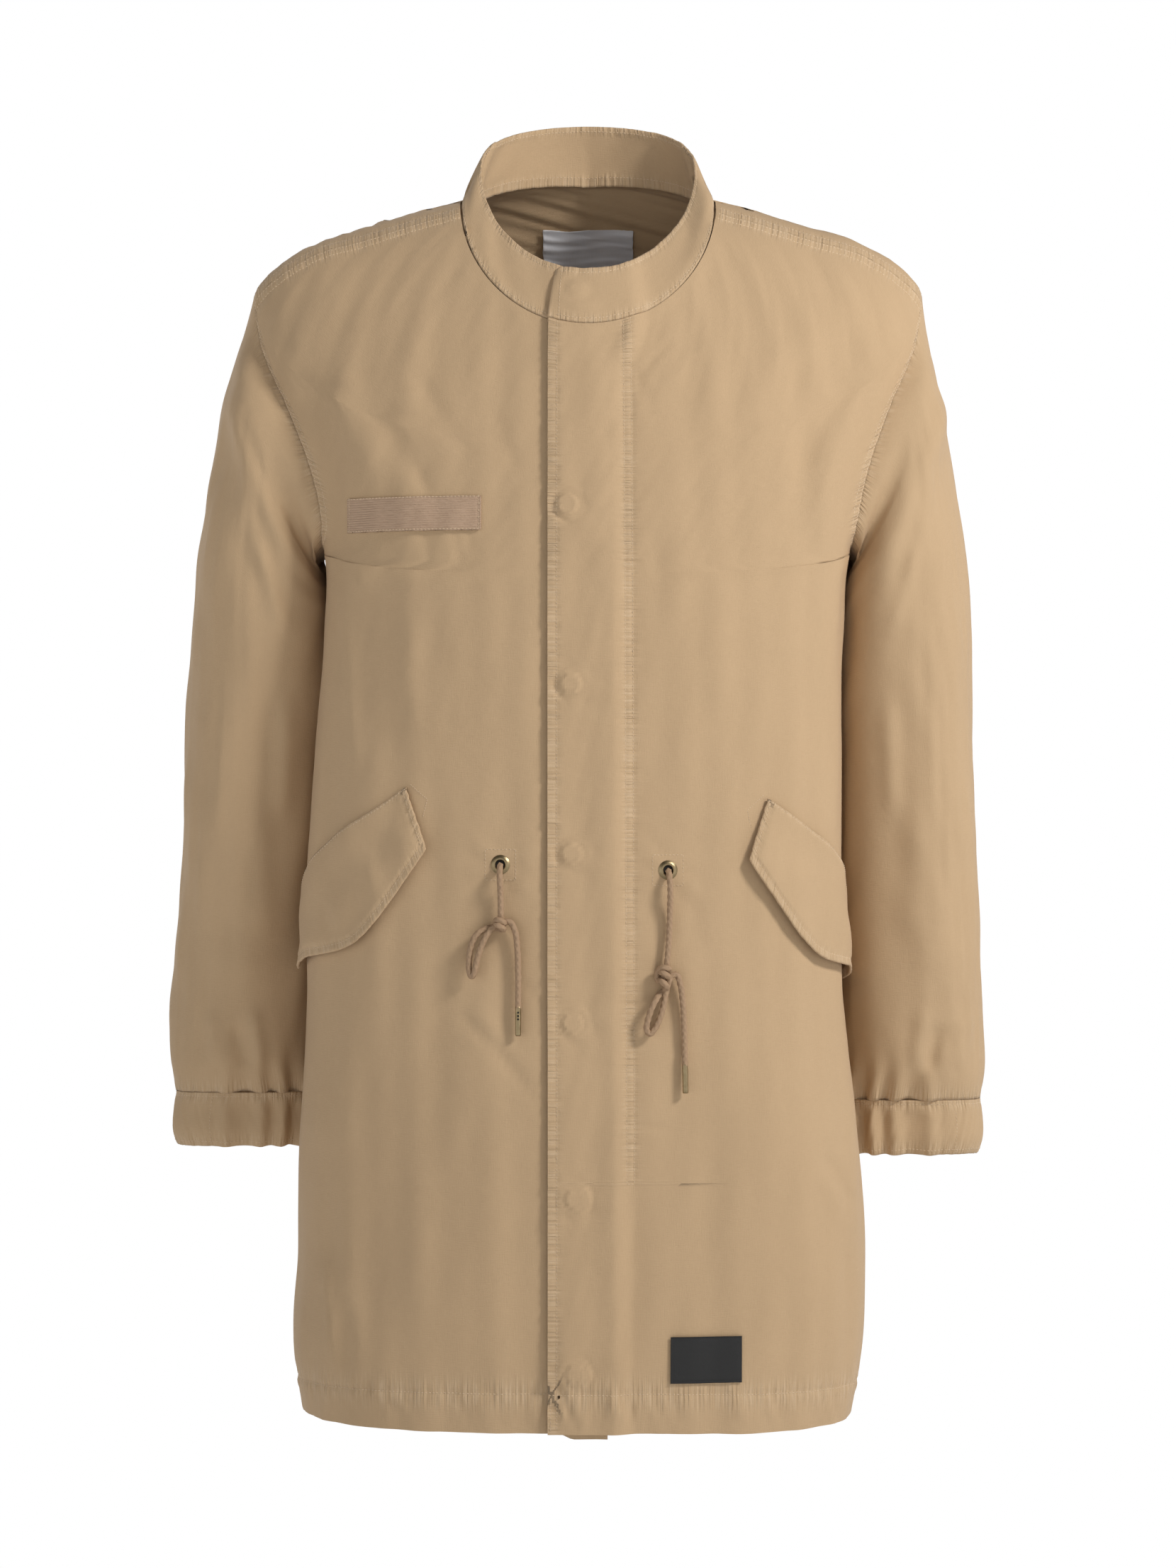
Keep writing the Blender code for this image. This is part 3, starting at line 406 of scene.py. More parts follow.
def sleeve_points(turns, runs, side):
    """The sleeve's outer points, rows down the arm and columns round it, before folds."""
    start, out, across = armhole_loop(turns, side)
    under = (1 + np.cos(np.radians(turns)))[:, None] / 2
    rings = [sleeve_ring(r, turns, side) for r in SLEEVE]
    turned = start + (unit(rings[0] - start) + out * under**2) * SLEEVE_TURN
    rings = np.array([start + across * 2 * SEAM, turned] + rings)
    return spline([0, SLEEVE_TURN] + [r.run for r in SLEEVE], rings, runs)


def grid_normals(p, closed):
    """Normals of a grid whose rows run down and whose columns run from the underarm to the front."""
    across = np.gradient(p, axis=1)
    if closed:
        across = (np.roll(p, -1, 1) - np.roll(p, 1, 1)) / 2
    return unit(np.cross(across, np.gradient(p, axis=0)))


def seam_inner(edge, normal, body_n, across, thick):
    """Inner points along a seam: mitred where the cloth turns away over it, square where it folds in."""
    turned = (normal * across).sum(-1, keepdims=True)
    mitre = unit(normal + body_n)
    longer = thick / np.maximum((mitre * body_n).sum(-1, keepdims=True), 0.6)
    return edge - np.where(turned > 0, mitre * longer, normal * thick)


def gather(turns, runs):
    """Waves of the elastic part of a cuff, in rows down it; none on the flat part."""
    from_outer = (turns - 180) % 360
    from_outer = np.where(from_outer > 180, from_outer - 360, from_outer)
    inside = np.minimum(from_outer - CUFF_FLAT[0], CUFF_FLAT[1] - from_outer)
    elastic = smooth(-inside / GATHER_STARTS)
    uneven = 1 + 0.35 * np.sin(np.radians(turns * 3 + 40))
    wave = np.sin(np.radians(turns * GATHERS) + 0.8 * np.sin(np.radians(turns * 5)))
    down = smooth(runs / GATHER_STARTS)
    return GATHER_DEPTH * np.outer(down, wave * elastic * uneven)


def collar_ends():
    return angle_at_x(COLLAR_UNDER_EDGE), angle_at_x(FLAP_EDGE) - 360


def collar_surface(theta, rise):
    """theta falls from the inner end through -180 at the back to the outer end; rise goes from 0 to 1."""
    neck = np.full_like(theta, NECK)
    foot, out = body_surface(neck, theta), body_normal(neck, theta)
    top = ring_points(COLLAR_TOP, theta, COLLAR_LEVEL)
    outer_end = (theta < -270) * lift(foot[..., 0], NECK)
    foot = foot + out * outer_end[..., None] + np.array([0, 0, SEAM + FELL_RISE])
    flat = unit(foot * np.array([1, 1, 0]))
    top = top + flat * outer_end[..., None]
    p = foot + (top - foot) * rise[..., None] + flat * (COLLAR_SWELL * np.sin(math.pi * rise))[..., None]
    for end in collar_ends():
        from_end = np.radians(np.abs(theta - end)) * BODY[-1].half_w
        p[..., 2] -= corner_drop(from_end) * rise**2
    return p


def angle_at_x(x):
    return math.degrees(math.asin(x / BODY[-1].half_w))


def corner_drop(from_end):
    """How far the top edge falls near an end, for a round corner."""
    inside = np.clip(1 - from_end / COLLAR_CORNER, 0, 1)
    return COLLAR_CORNER * (1 - np.sqrt(1 - inside**2))


# ---------------------------------------------------------------- fine detail of the cloth

# Soft creases of the cloth over the folds, in the same columns
BODY_CREASES = folds(
    front=(
        (-190, -118, -150, -228, 13, 2.6), (-160, -150, -114, -224, 11, -2.4),
        (-136, -120, -84, -200, 7, -1.2), (-70, -160, -49, -214, 5, -0.8),
        (-126, -200, -115, -228, 5, -1.2), (-118, -247, -115, -284, 3.5, -0.7),
        (-97, -247, -93, -278, 3.5, -0.7), (-88, -244, -85, -266, 3, -0.5),
        (-182, -262, -158, -298, 6, 1.8), (-186, -280, -168, -372, 5, 1.6),
        (-173, -350, -168, -430, 5, 1.4), (-130, -300, -124, -410, 6, 0.8),
        (-98, -330, -102, -430, 7, -0.9), (-70, -260, -66, -380, 8, 0.8), (180, -140, 150, -215, 13, -2.4),
        (156, -200, 142, -264, 12, -1.8), (168, -104, 136, -190, 8, -1.3), (190, -108, 160, -180, 7, 1.3),
        (152, -96, 118, -170, 9, 1.0), (62, -108, 38, -138, 3.5, -0.9), (36, -130, 40, -160, 3, -0.9),
        (43, -140, 47, -176, 3.5, -0.7), (80, -112, 58, -150, 6, 0.8), (46, -240, 52, -330, 7, -0.8),
        (88, -260, 96, -400, 12, 0.9), (12, -270, 8, -400, 7, -0.9), (-96, -596, -66, -626, 4.5, -1.2),
        (-72, -616, -33, -668, 4.5, -1.2), (-84, -590, -44, -640, 6, 1.0),
        (-48, -574, -32, -596, 3.5, -0.9), (-100, -560, -120, -640, 9, -0.9),
        (50, -638, 74, -620, 3.5, 0.8), (36, -681, 62, -682, 2.5, -0.7), (74, -508, 80, -560, 6, -1.0),
        (44, -510, 52, -560, 5, -0.8), (8, -600, 12, -690, 8, -0.9), (-192, -770, -184, -872, 4, 2.6),
        (-197, -680, -190, -800, 13, -3.0), (-176, -806, -174, -872, 4.5, -1.6),
        (-166, -800, -165, -880, 6, 1.0), (-184, -700, -178, -790, 8, 1.2),
        (170, -700, 202, -752, 4.5, -1.7), (164, -708, 196, -770, 5, 1.2), (186, -760, 196, -870, 7, -1.4),
        (130, -700, 150, -870, 14, -1.0), (-120, -690, -112, -860, 16, 1.0),
    ),
    back=(
        (-170, -120, -130, -240, 12, -2.0), (176, -126, 132, -250, 12, -2.2),
        (-120, -110, -70, -210, 9, 1.2), (116, -104, 78, -216, 9, 1.0), (-176, -250, -150, -330, 7, -1.6),
        (178, -262, 156, -340, 7, -1.5), (-30, -150, -36, -330, 10, 0.9), (36, -180, 30, -360, 10, -0.9),
        (-110, -360, -124, -560, 12, 1.4), (118, -350, 126, -520, 12, 1.2),
        (-80, -540, -104, -640, 6, -1.2), (66, -560, 96, -660, 6, -1.3), (-160, -680, -176, -860, 9, -1.8),
        (158, -700, 172, -870, 9, -1.6), (20, -620, 34, -860, 12, 1.3), (-34, -660, -44, -870, 10, -1.2),
    ),
)
SLEEVE_CREASES = folds(
    front=(
        (-268, -130, -243, -240, 8, 2.0), (-258, -180, -226, -290, 7, -1.6),
        (-246, -250, -222, -330, 6, 1.2), (-288, -230, -276, -360, 10, 1.0),
        (-222, -360, -226, -470, 7, 1.4), (-280, -470, -268, -570, 12, -1.2),
        (-246, -440, -240, -560, 10, 1.0), (-264, -610, -252, -652, 5, -1.8),
        (-250, -596, -242, -650, 5, 1.4), (-284, -600, -272, -650, 7, 1.2),
    ),
    back=(
        (-276, -150, -244, -280, 10, 1.6), (-256, -250, -226, -320, 7, -1.6),
        (-262, -370, -238, -420, 6, -1.8), (-270, -390, -246, -445, 6, 1.4),
        (-250, -420, -236, -470, 6, -1.2), (-288, -480, -272, -600, 11, 1.2),
        (-266, -590, -256, -650, 6, -1.8),
    ),
)

# How strongly the tables of creases show, and the reach of the normals passed over an armhole's ends
BODY_CREASED = 0.9
SLEEVE_CREASED = 1.9
NORMALS_REACH = 12.0
COLLAR_RADIUS = 88.0  # mean radius of the collar, for distances round it
COLLAR_MIDDLE = np.array([0, 0, -30.0])  # a point inside the collar
SLEEVE_GIRTH = 400.0
CUFF_GIRTH = 290.0

ROW_STEP = {"front_left": 3.0, "front_right": 3.4, "back": 4.4}
COLUMN_STEP = 3.9
BACK_STEP = 4.6
STITCH_IN = 1.6  # a felled seam's outer row of stitches lies this far from the edge
FLAP_STITCH = -22.4  # rows of stitches that run up the left front, as distances from the centre front
PLACKET_STITCHES = ((25.6, 28.4), (31.2, 34.0))  # at the collar and at the lower end
PLACKET_END = 176.0  # station where the two rows stop, with one row across
EYELET_PATCH = 22.0  # side of the square of stitches round an eyelet
SNAP_MARK = 8.6  # radius of the round mark that each snap presses into the flap
SNAP_MARK_X = (-15, -12.5, -12, -11, -9, -9)
COLLAR_MARK = (-8, 30)  # x of the collar's own mark, and its height above the foot
SNAP_RISE = 1.5

CLOTH_COLOURS = ((0.545, 0.378, 0.221), (0.470, 0.323, 0.185))
THREAD_COLOUR = (0.62, 0.47, 0.31)
CLOTH_WORN = (0.66, 0.50, 0.335)
FOOT_CLOSES = 0.7  # the collar's foot comes this much closer to the panels than its solid
FOOT_TURN = 3.5  # depth of the collar's edge that is turned down inside them
ALLOWANCE = 6.0  # depth of the sleeves' edges that are tucked under the panels
# Degrees round a cuff, from the underarm over the front
CUFF_SEAMS = {"right": (110, 200), "left": (121, 200)}
# Dents of the collar as (degrees round it, height above its foot, half width, depth)
COLLAR_DENTS = (
    (-308, 26, 13, -1.2),
    (-287, 20, 15, 1.4),
    (-300, 38, 7, -0.8),
    (-36, 24, 12, -1.0),
    (-60, 30, 16, 1.2),
    (-84, 18, 12, -1.0),
    (-262, 28, 14, -1.0),
)

# Each cord end runs through (x, z, distance of its middle from the cloth), tied in an overhand knot
CORD_ROUTES = {
    "right": (
        (-63, -492.2, 1.6), (-63, -492.6, 4.0), (-62.9, -494.2, 6.6), (-62.8, -500, 7.8), (-62.6, -512, 6.0),
        (-62.3, -523, 6.2), (-62, -530, 6.3), (-61.5, -537, 5.5), (-64.5, -540.5, 4.0), (-68, -536, 3.0),
        (-68.5, -529, 6.0), (-64, -529.5, 10.6), (-58.5, -533.5, 10.0), (-56.2, -536, 6.5), (-60, -535, 2.7),
        (-67.5, -533.5, 4.5), (-69, -533.3, 7.5), (-64.5, -534.5, 10.8), (-59, -538.5, 9.8), (-56.5, -540, 6.3),
        (-61, -538.5, 2.7), (-67, -537, 3.2), (-72, -535.5, 5.5), (-80.6, -537.5, 7.6), (-84.6, -547, 7.2),
        (-85.6, -562, 6.2), (-85.2, -574, 6.0), (-82.3, -580.5, 6.2), (-79.3, -574, 7.0), (-79, -562, 7.4),
        (-77.4, -549, 8.0), (-72, -540.5, 8.2), (-66, -533, 6.5), (-60, -530.5, 5.8), (-53.5, -529.5, 6.0),
        (-50.6, -533.5, 5.4), (-49.4, -544, 4.6), (-49, -570, 4.2), (-49.2, -595.6, 4.6),
    ),
    "left": (
        (57.5, -496.2, 1.6), (57.5, -496.6, 4.0), (57.6, -498.2, 6.6), (57.8, -504, 7.8), (58.8, -520, 5.2),
        (59.4, -544, 4.2), (56.4, -558, 5.5), (55.5, -566, 5.8), (54.5, -574, 5.8), (53, -581, 4.5),
        (48.5, -579, 3.0), (47.5, -571, 3.5), (48, -564.5, 6.0), (52, -563.5, 10.2), (58, -566.5, 10.0),
        (61.5, -569, 6.5), (57, -569.5, 2.7), (49.5, -568.5, 3.5), (47.6, -568.3, 6.3), (51.5, -569, 10.6),
        (57.5, -572.5, 10.2), (61, -575, 6.5), (56.5, -575, 2.7), (49.5, -574, 3.4), (47.4, -573.8, 6.5),
        (51, -575.5, 10.4), (56.5, -579.5, 9.8), (59, -582, 6), (55, -582.5, 2.8), (50.5, -583, 4),
        (47.5, -588, 7.5), (45.2, -593, 8.0), (40.6, -606, 7.0), (39.4, -615, 6.0), (42.6, -619.5, 5.4),
        (47.6, -614, 5.4), (51.2, -603, 5.6), (54.6, -592, 5.6), (55.4, -584, 5.2), (55.5, -576, 6.5),
        (58.5, -568, 6.5), (63.5, -564.8, 6.0), (66, -571.5, 5.6), (68.2, -585, 4.8), (69.6, -611, 4.2),
        (69, -636.8, 4.6),
    ),
}

# Slot names of the sewn-on pieces that are not cotton
SLOTS = {"name_tape": "webbing", "hem_label": "leather", "neck_label": "label"}

FLOOR_Z = -1.6
CAMERA_AWAY = 3.3
CAMERA_Z = -0.434


def ripple(t, wave, seed):
    """An irregular wave along a seam, from -1 to 1."""
    rng = np.random.default_rng(seed)
    total = 0
    for rate in (0.61, 1.0, 1.47):
        phase, drift = rng.uniform(0, 6.28, 2)
        turn = 2 * math.pi * rate / wave
        total = total + np.sin(turn * t + phase + 1.4 * np.sin(turn * t / 5.3 + drift))
    return total / 3


def drape(u, v, wave_u, wave_v, seed, count=10):
    """Soft undulations of hanging cloth over distances u across and v along it, from about -1 to 1."""
    rng = np.random.default_rng(seed)
    total = 0
    for _ in range(count):
        rate_u, rate_v = rng.normal(0, 1, 2)
        total = total + np.sin(rate_u * u * 4 / wave_u + rate_v * v * 4 / wave_v + rng.uniform(0, 6.28))
    return total / math.sqrt(count)


def near(distance, half):
    return np.exp(-((distance / half) ** 2))


def steps(start, end, step):
    return np.linspace(start, end, int(abs(end - start) / step) + 2)


def fine_stations(step):
    turns = np.linspace(0, math.pi, int(1.5 * (TIP - UNDERARM) / step))
    armhole = [UNDERARM]
    for station in UNDERARM + (TIP - UNDERARM) * (1 - np.cos(turns)) / 2:
        if min(station - armhole[-1], TIP - station) > 0.8:
            armhole.append(station)
    armhole.append(TIP)
    hem = np.linspace(0, HEM + 6, 18)
    below, above = steps(hem[-1], UNDERARM, step), steps(TIP, NECK - NECK_TRIM, step)
    return np.concatenate([hem, below[1:], armhole[1:], above[1:]])


def fine_columns(name, station):
    """Distances from the centre front of one row's points, their angles and their distance from the edge.

    The wearer's right is below 0 on the fronts; the back's distances run on past the centre back.
    """
    theta, run = arc_tables(station)
    fell = np.array([FELL + FELL_BEND, FELL, 6.4, 4.8, 3.2, STITCH_IN, SEAM / 2])
    if name == "back":
        halves = []
        for side in (1, -1):
            end = side * np.interp(side * boundary(station, "back"), theta, run)
            length = side * run[-1 if side > 0 else 0] - end
            inner = np.linspace(fell[0], length, int(340 / BACK_STEP))[1:]
            halves.append(side * (end + np.concatenate([fell[::-1], inner])))
        left, right = halves[0], halves[1][-2::-1]
        arc = np.concatenate([left, right + run[-1] - run[0]])
        edge = np.minimum(arc - arc[0], arc[-1] - arc) + SEAM / 2
        return arc, np.interp(np.concatenate([left, right]), run, theta), edge
    side = 1 if name == "front_left" else -1
    end = abs(np.interp(side * boundary(station, "front"), theta, run))
    close = np.arange(FLAP_EDGE, 38, 1.6) if side > 0 else np.arange(-UNDERLAP_EDGE, 28, 3.0)
    far = np.linspace(close[-1], end - fell[0], int(270 / COLUMN_STEP))[1:-1]
    arc = side * np.concatenate([close, far, end - fell])
    return arc, np.interp(arc, run, theta), end - np.abs(arc)


def snap_marks(x, z):
    """Height of the round marks over the snaps, with a soft rim and the dents beside them."""
    total = np.zeros_like(x)
    for i, (middle, height) in enumerate(zip(SNAP_MARK_X, SNAP_HEIGHTS)):
        dx, dz = x - middle, z - height
        r = np.hypot(dx, dz)
        disc = smooth((SNAP_MARK - r) / 2.4)
        rim = near(r - SNAP_MARK + 1.6, 1.4)
        lean = 0.5 + 0.5 * np.sin(np.arctan2(dz, dx) + 2.6 + i)
        total += SNAP_RISE * disc + 0.35 * rim - (0.5 + 0.9 * lean) * near(r - SNAP_MARK - 2.2, 2.4)
        total += 0.5 * near(r, 26) * np.sin(np.arctan2(dz, dx) * 5 + i * 2.1) * smooth((r - 9) / 6)
    return total


def clear_of_snaps(out, x, z, way):
    """Keeps the cloth over (way 1) or under (way -1) the hidden snaps from pressing into them."""
    room = np.zeros_like(x)
    for height in SNAP_HEIGHTS:
        room = np.maximum(room, smooth((15 - np.hypot(x - SNAP_X, z - height)) / 5))
    return out + room * way * np.maximum(0.1 - way * out, 0)


def eyelet_marks(x, z, word):
    cx, cz = EYELETS[word]
    dx, dz = np.abs(x - cx), np.abs(z - cz)
    far = np.maximum(dx, dz)
    half = EYELET_PATCH / 2
    flat = 0.5 * smooth((half + 1.5 - far) / 2)
    pull = np.arctan2(z - cz, x - cx)
    rays = 0.45 * near(far - half - 6, 7) * np.sin(pull * 6 + 1.3 * cx)
    return flat - 0.5 * near(far - half, 1.6) + rays


def panel_shape(name):
    """A panel at its finest: rows from the hem up, with everything that its sewing and wear press into it."""
    stations = fine_stations(ROW_STEP[name])
    rows = [fine_columns(name, station) for station in stations]
    arc, theta, edge = (np.array(x) for x in zip(*rows))
    station = np.repeat(stations[:, None], arc.shape[1], 1)
    p = body_surface(station, theta)
    n = body_normal(station, theta)
    x, z = p[..., 0], p[..., 2]
    out = HEM_RISE * smooth((HEM + 1 - station) / 2) + FELL_RISE * smooth((FELL + 1 - edge) / 2)
    free = smooth(edge / 12) * smooth((NECK - station) / 16)
    out += BODY_CREASED * fold_height(BODY_CREASES, p, n[..., 1]) * free
    out += 0.95 * drape(arc, station, 60, 260, 3) * free * smooth(edge / 40)
    out += 0.2 * drape(arc, station, 17, 60, 4) * free
    hem_wave = ripple(arc + 0.45 * (station - HEM), 19, 5) + 0.6 * ripple(arc - 0.3 * station, 11, 6)
    out += hem_wave * near(station - HEM + 5, 13) - 0.6 * near(station - HEM, 1.5)
    out += 0.6 * ripple(station, 13, 7) * near(edge - 5, 6) - 0.45 * near(edge - FELL + 0.4, 1.3)
    lines = [(station - HEM, arc, 9.0), (edge - FELL / 2, station, 7.0)]
    if name == "front_left":
        rest = smooth((station - PLACKET_END + 2) / 4)
        down = 1 - station / NECK
        for top, low in PLACKET_STITCHES:
            out -= 0.5 * near(arc - (top + (low - top) * down), 1.3) * rest
        middle = 28.4 + 2.8 * down
        out += 0.3 * near(arc - middle, 2.4) * rest
        out += 0.6 * ripple(station, 12, 8) * near(arc - middle, 8) * rest
        out -= 0.45 * near(arc - FLAP_STITCH, 1.4)
        out += 0.6 * ripple(station, 14, 9) * smooth((FLAP_STITCH + 4 - arc) / 5)
        out = clear_of_snaps(out + snap_marks(x, z) + eyelet_marks(x, z, "left"), x, z, 1)
        lines += [(arc - middle, station + 3, 5.0 + 99 * (1 - rest)), (arc - FLAP_EDGE - 3, station + 7, 5.5)]
        out += lift(arc, station)
    if name == "front_right":
        out = clear_of_snaps(out + eyelet_marks(x, z, "right"), x, z, -1)
    p = p + n * out[..., None]
    if name == "front_right":
        p[..., 2] -= UNDERLAP_DROP * smooth((arc + 22) / 12) * (1 - smooth(station / HEM))
    grid = finished(p, arc, station, lines, AXIS)
    for level in (UNDERARM, TIP):
        grid["n"] = normals_across(grid["n"], stations, level)
    return grid


def normals_across(n, stations, level):
    """Normals of the close rows around one station, passed on from the rows beyond them."""
    low = np.searchsorted(stations, level - NORMALS_REACH) - 1
    high = min(np.searchsorted(stations, level + NORMALS_REACH), len(stations) - 1)
    n = n.copy()
    for k in range(low + 1, high):
        share = (stations[k] - stations[low]) / (stations[high] - stations[low])
        n[k] = unit(n[low] * (1 - share) + n[high] * share)
    return n


def finished(p, across, up, lines, inside=None, closed=False, way=1):
    """A grid with its outward normals and the coordinates that its material reads.

    lines are seams, each as the distances from it, the distances along it and the half width that
    it puckers; inside is a point behind the cloth, and without one way turns the normals.
    """
    n = grid_normals(p, closed) * way
    if inside is not None:
        n *= np.sign((n * (p - inside)).sum(-1, keepdims=True))
    strength = np.array([np.broadcast_to(near(d, half) * (half < 50), p.shape[:2]) for d, _, half in lines])
    along = np.array([np.broadcast_to(t, p.shape[:2]) for _, t, _ in lines])
    best = strength.argmax(0)[None]
    along, strength = (np.take_along_axis(rows, best, 0)[0] for rows in (along, strength))
    return {"p": p, "n": n, "arc": across, "station": up, "seam": np.stack([along, strength], -1)}


# ---------------------------------------------------------------- meshes


def inner_of(grid, thick):
    return grid["p"] - grid["n"] * thick


def shell(name, grid, inner, closed=False, soft=(), shaded=False):
    """A cloth wall between a grid's points and its inner points; the edges named in soft are rounded.

    shaded keeps the grid's own normals, because its squares are narrow slivers at the ends of an armhole.
    """
    outer, inner = grid["p"].copy(), inner.copy()
    for edge in soft:
        at = {"low": np.s_[0], "high": np.s_[-1], "first": np.s_[:, 0], "last": np.s_[:, -1]}[edge]
        middle = (outer[at] + inner[at]) / 2
        outer[at], inner[at] = (middle + (side[at] - middle) * 0.45 for side in (outer, inner))
    rows, columns = outer.shape[:2]
    last = columns if closed else columns - 1
    r, c = np.meshgrid(np.arange(rows - 1), np.arange(last), indexing="ij")
    r4 = np.stack([r, r, r + 1, r + 1], -1).reshape(-1, 4)
    c4 = np.stack([c, c + 1, c + 1, c], -1).reshape(-1, 4)
    faces = [(0 * r4, r4, c4), (0 * r4 + 1, r4[:, ::-1], c4[:, ::-1])]
    c = np.arange(last)
    for row, way in ((0, 1), (rows - 1, -1)):
        corners = ((0 * c, 0 * c, 0 * c + 1, 0 * c + 1), (c + 1, c, c, c + 1))
        rim = [np.stack(x, -1)[:, ::way] for x in corners]
        faces.append((rim[0], 0 * rim[0] + row, rim[1]))
    if not closed:
        r = np.arange(rows - 1)
        for column, way in ((0, 1), (columns - 1, -1)):
            corners = ((0 * r, 0 * r, 0 * r + 1, 0 * r + 1), (r, r + 1, r + 1, r))
            rim = [np.stack(x, -1)[:, ::way] for x in corners]
            faces.append((rim[0], rim[1], 0 * rim[0] + column))
    layer, row, column = (np.concatenate([f[i] for f in faces]) for i in range(3))
    index = layer * rows * columns + row * columns + column % columns
    points = np.concatenate([outer.reshape(-1, 3), inner.reshape(-1, 3)])
    a, b, _, d = points[index[len(index) // 5]]
    if (np.cross(b - a, d - a) * grid["n"].reshape(-1, 3)[index[len(index) // 5, 0]]).sum() < 0:
        index, row, column = index[:, ::-1], row[:, ::-1], column[:, ::-1]
    mesh = bpy.data.meshes.new(name)
    mesh.from_pydata((points * MM).tolist(), [], index.tolist())
    uv = np.stack([grid["arc"], grid["station"]], -1) * MM
    for layer_name, values in (("cloth", uv), ("seam", grid["seam"] * (0.1, 1))):
        if closed:
            extra = values[:, :1].copy()
            extra[..., 0] = values[:, -1:, 0] + values[:, 1:2, 0] - values[:, :1, 0]
            values = np.concatenate([values, extra], 1)
        data = mesh.uv_layers.new(name=layer_name).data
        data.foreach_set("uv", values[row, column].reshape(-1).astype(np.float32))
    mesh.shade_smooth()
    if shaded:
        normals = grid["n"].reshape(-1, 3)
        mesh.normals_split_custom_set_from_vertices(np.concatenate([normals, -normals]).tolist())
    return link(name, mesh)


def link(name, data):
    obj = bpy.data.objects.new(name, data)
    bpy.context.scene.collection.objects.link(obj)
    return obj


def sample(grid, row, column):
    """Points and outward normals of a grid at fractional rows and columns."""
    rows, columns = grid["p"].shape[:2]
    row, column = np.clip(row, 0, rows - 1.001), np.clip(column, 0, columns - 1.001)
    r, c = row.astype(int), column.astype(int)
    f, g = (row - r)[..., None], (column - c)[..., None]
    out = []
    for key in ("p", "n"):
        v = grid[key]
        low, high = v[r, c] * (1 - g) + v[r, c + 1] * g, v[r + 1, c] * (1 - g) + v[r + 1, c + 1] * g
        out.append(low * (1 - f) + high * f)
    return out[0], unit(out[1])


def column_of(keys, row, value):
    """The fractional column where the keys of a fractional row reach a value."""
    low = min(int(row), len(keys) - 2)
    line = keys[low] + (keys[low + 1] - keys[low]) * (row - low)
    index = np.arange(len(line))
    return np.interp(value, line, index) if line[0] < line[-1] else np.interp(value, line[::-1], index[::-1])


def at_station(grid, arc, station):
    arc, station = np.broadcast_arrays(np.asarray(arc, float), np.asarray(station, float))
    row = np.interp(station, grid["station"][:, 0], np.arange(len(grid["station"])))
    column = [column_of(grid["arc"], r, a) for r, a in zip(row.ravel(), arc.ravel())]
    return sample(grid, row, np.array(column).reshape(row.shape))


def at_height(grid, keys, value, z):
    """Points and normals of a panel at pairs of a key, the distance round or x, and a height."""
    value, z = np.broadcast_arrays(np.asarray(value, float), np.asarray(z, float))
    rows, columns = np.empty(value.size), np.empty(value.size)
    index = np.arange(len(keys))
    for i, (v, height) in enumerate(zip(value.ravel(), z.ravel())):
        row = len(keys) / 2
        for _ in range(3):
            column = column_of(keys, row, v)
            row = np.interp(height, grid["p"][:, int(round(column)), 2], index)
        rows[i], columns[i] = row, column_of(keys, row, v)
    return sample(grid, rows.reshape(value.shape), columns.reshape(value.shape))


# ---------------------------------------------------------------- stitches


def stitch_row(places, normals, pitch=2.8, length=2.2):
    """Middles, directions and normals of evenly spaced stitches along a line of points."""
    run = run_along(places)
    if run[-1] < pitch:
        return np.empty((0, 3, 3))
    at = np.arange(pitch / 2, run[-1], pitch)

    def read(values, where):
        return np.stack([np.interp(where, run, values[:, axis]) for axis in range(3)], -1)

    middle, n = read(places, at), unit(read(normals, at))
    way = unit(read(places, np.minimum(at + 1, run[-1])) - read(places, np.maximum(at - 1, 0)))
    return np.stack([middle, way * length / 2, n], 1)


def make_stitches(name, rows, width=0.62, height=0.42):
    """One mesh with a small raised grain of thread for each stitch."""
    made = np.concatenate(rows)
    rng = np.random.default_rng(31)
    middle, half, n = made[:, 0], made[:, 1], made[:, 2]
    half = half * rng.uniform(0.85, 1.08, (len(made), 1))
    side = unit(np.cross(n, half))
    half = half + side * rng.normal(0, 0.1, (len(made), 1))
    side, up = side * width / 2, n * height
    points = [middle - half - up * 0.4]
    for along in (-0.55, 0.55):
        crown = middle + half * along
        points += [crown + side - up * 0.2, crown + up, crown - side - up * 0.2]
    points.append(middle + half - up * 0.4)
    points = np.stack(points, 1)
    faces = ((0, 2, 1), (0, 3, 2), (1, 2, 5, 4), (2, 3, 6, 5), (4, 5, 7), (5, 6, 7))
    count = len(made)
    mesh = bpy.data.meshes.new(name)
    every = [[8 * i + k for k in face] for i in range(count) for face in faces]
    mesh.from_pydata((points.reshape(-1, 3) * MM).tolist(), [], every)
    mesh.shade_smooth()
    return link(name, mesh)


def stitched(grid, arc, station):
    return stitch_row(*at_station(grid, arc, station))


def closing_stitches(left):
    """The row beside the flap's edge, and the placket's two rows with the short ones that end them."""
    rows = [stitched(left, np.full(400, FLAP_STITCH), np.linspace(3, NECK - 3, 400))]
    band = np.linspace(PLACKET_END, NECK - 2, 330)
    ends = []
    for top, low in PLACKET_STITCHES:
        rows.append(stitched(left, top + (low - top) * (1 - band / NECK), band))
        ends.append(top + (low - top) * (1 - PLACKET_END / NECK))
    rows.append(stitched(left, np.linspace(*ends, 12), np.full(12, PLACKET_END)))
    rows.append(stitched(left, np.full(20, FLAP_EDGE + 2.2), np.linspace(2, HEM - 1, 20)))
    return rows


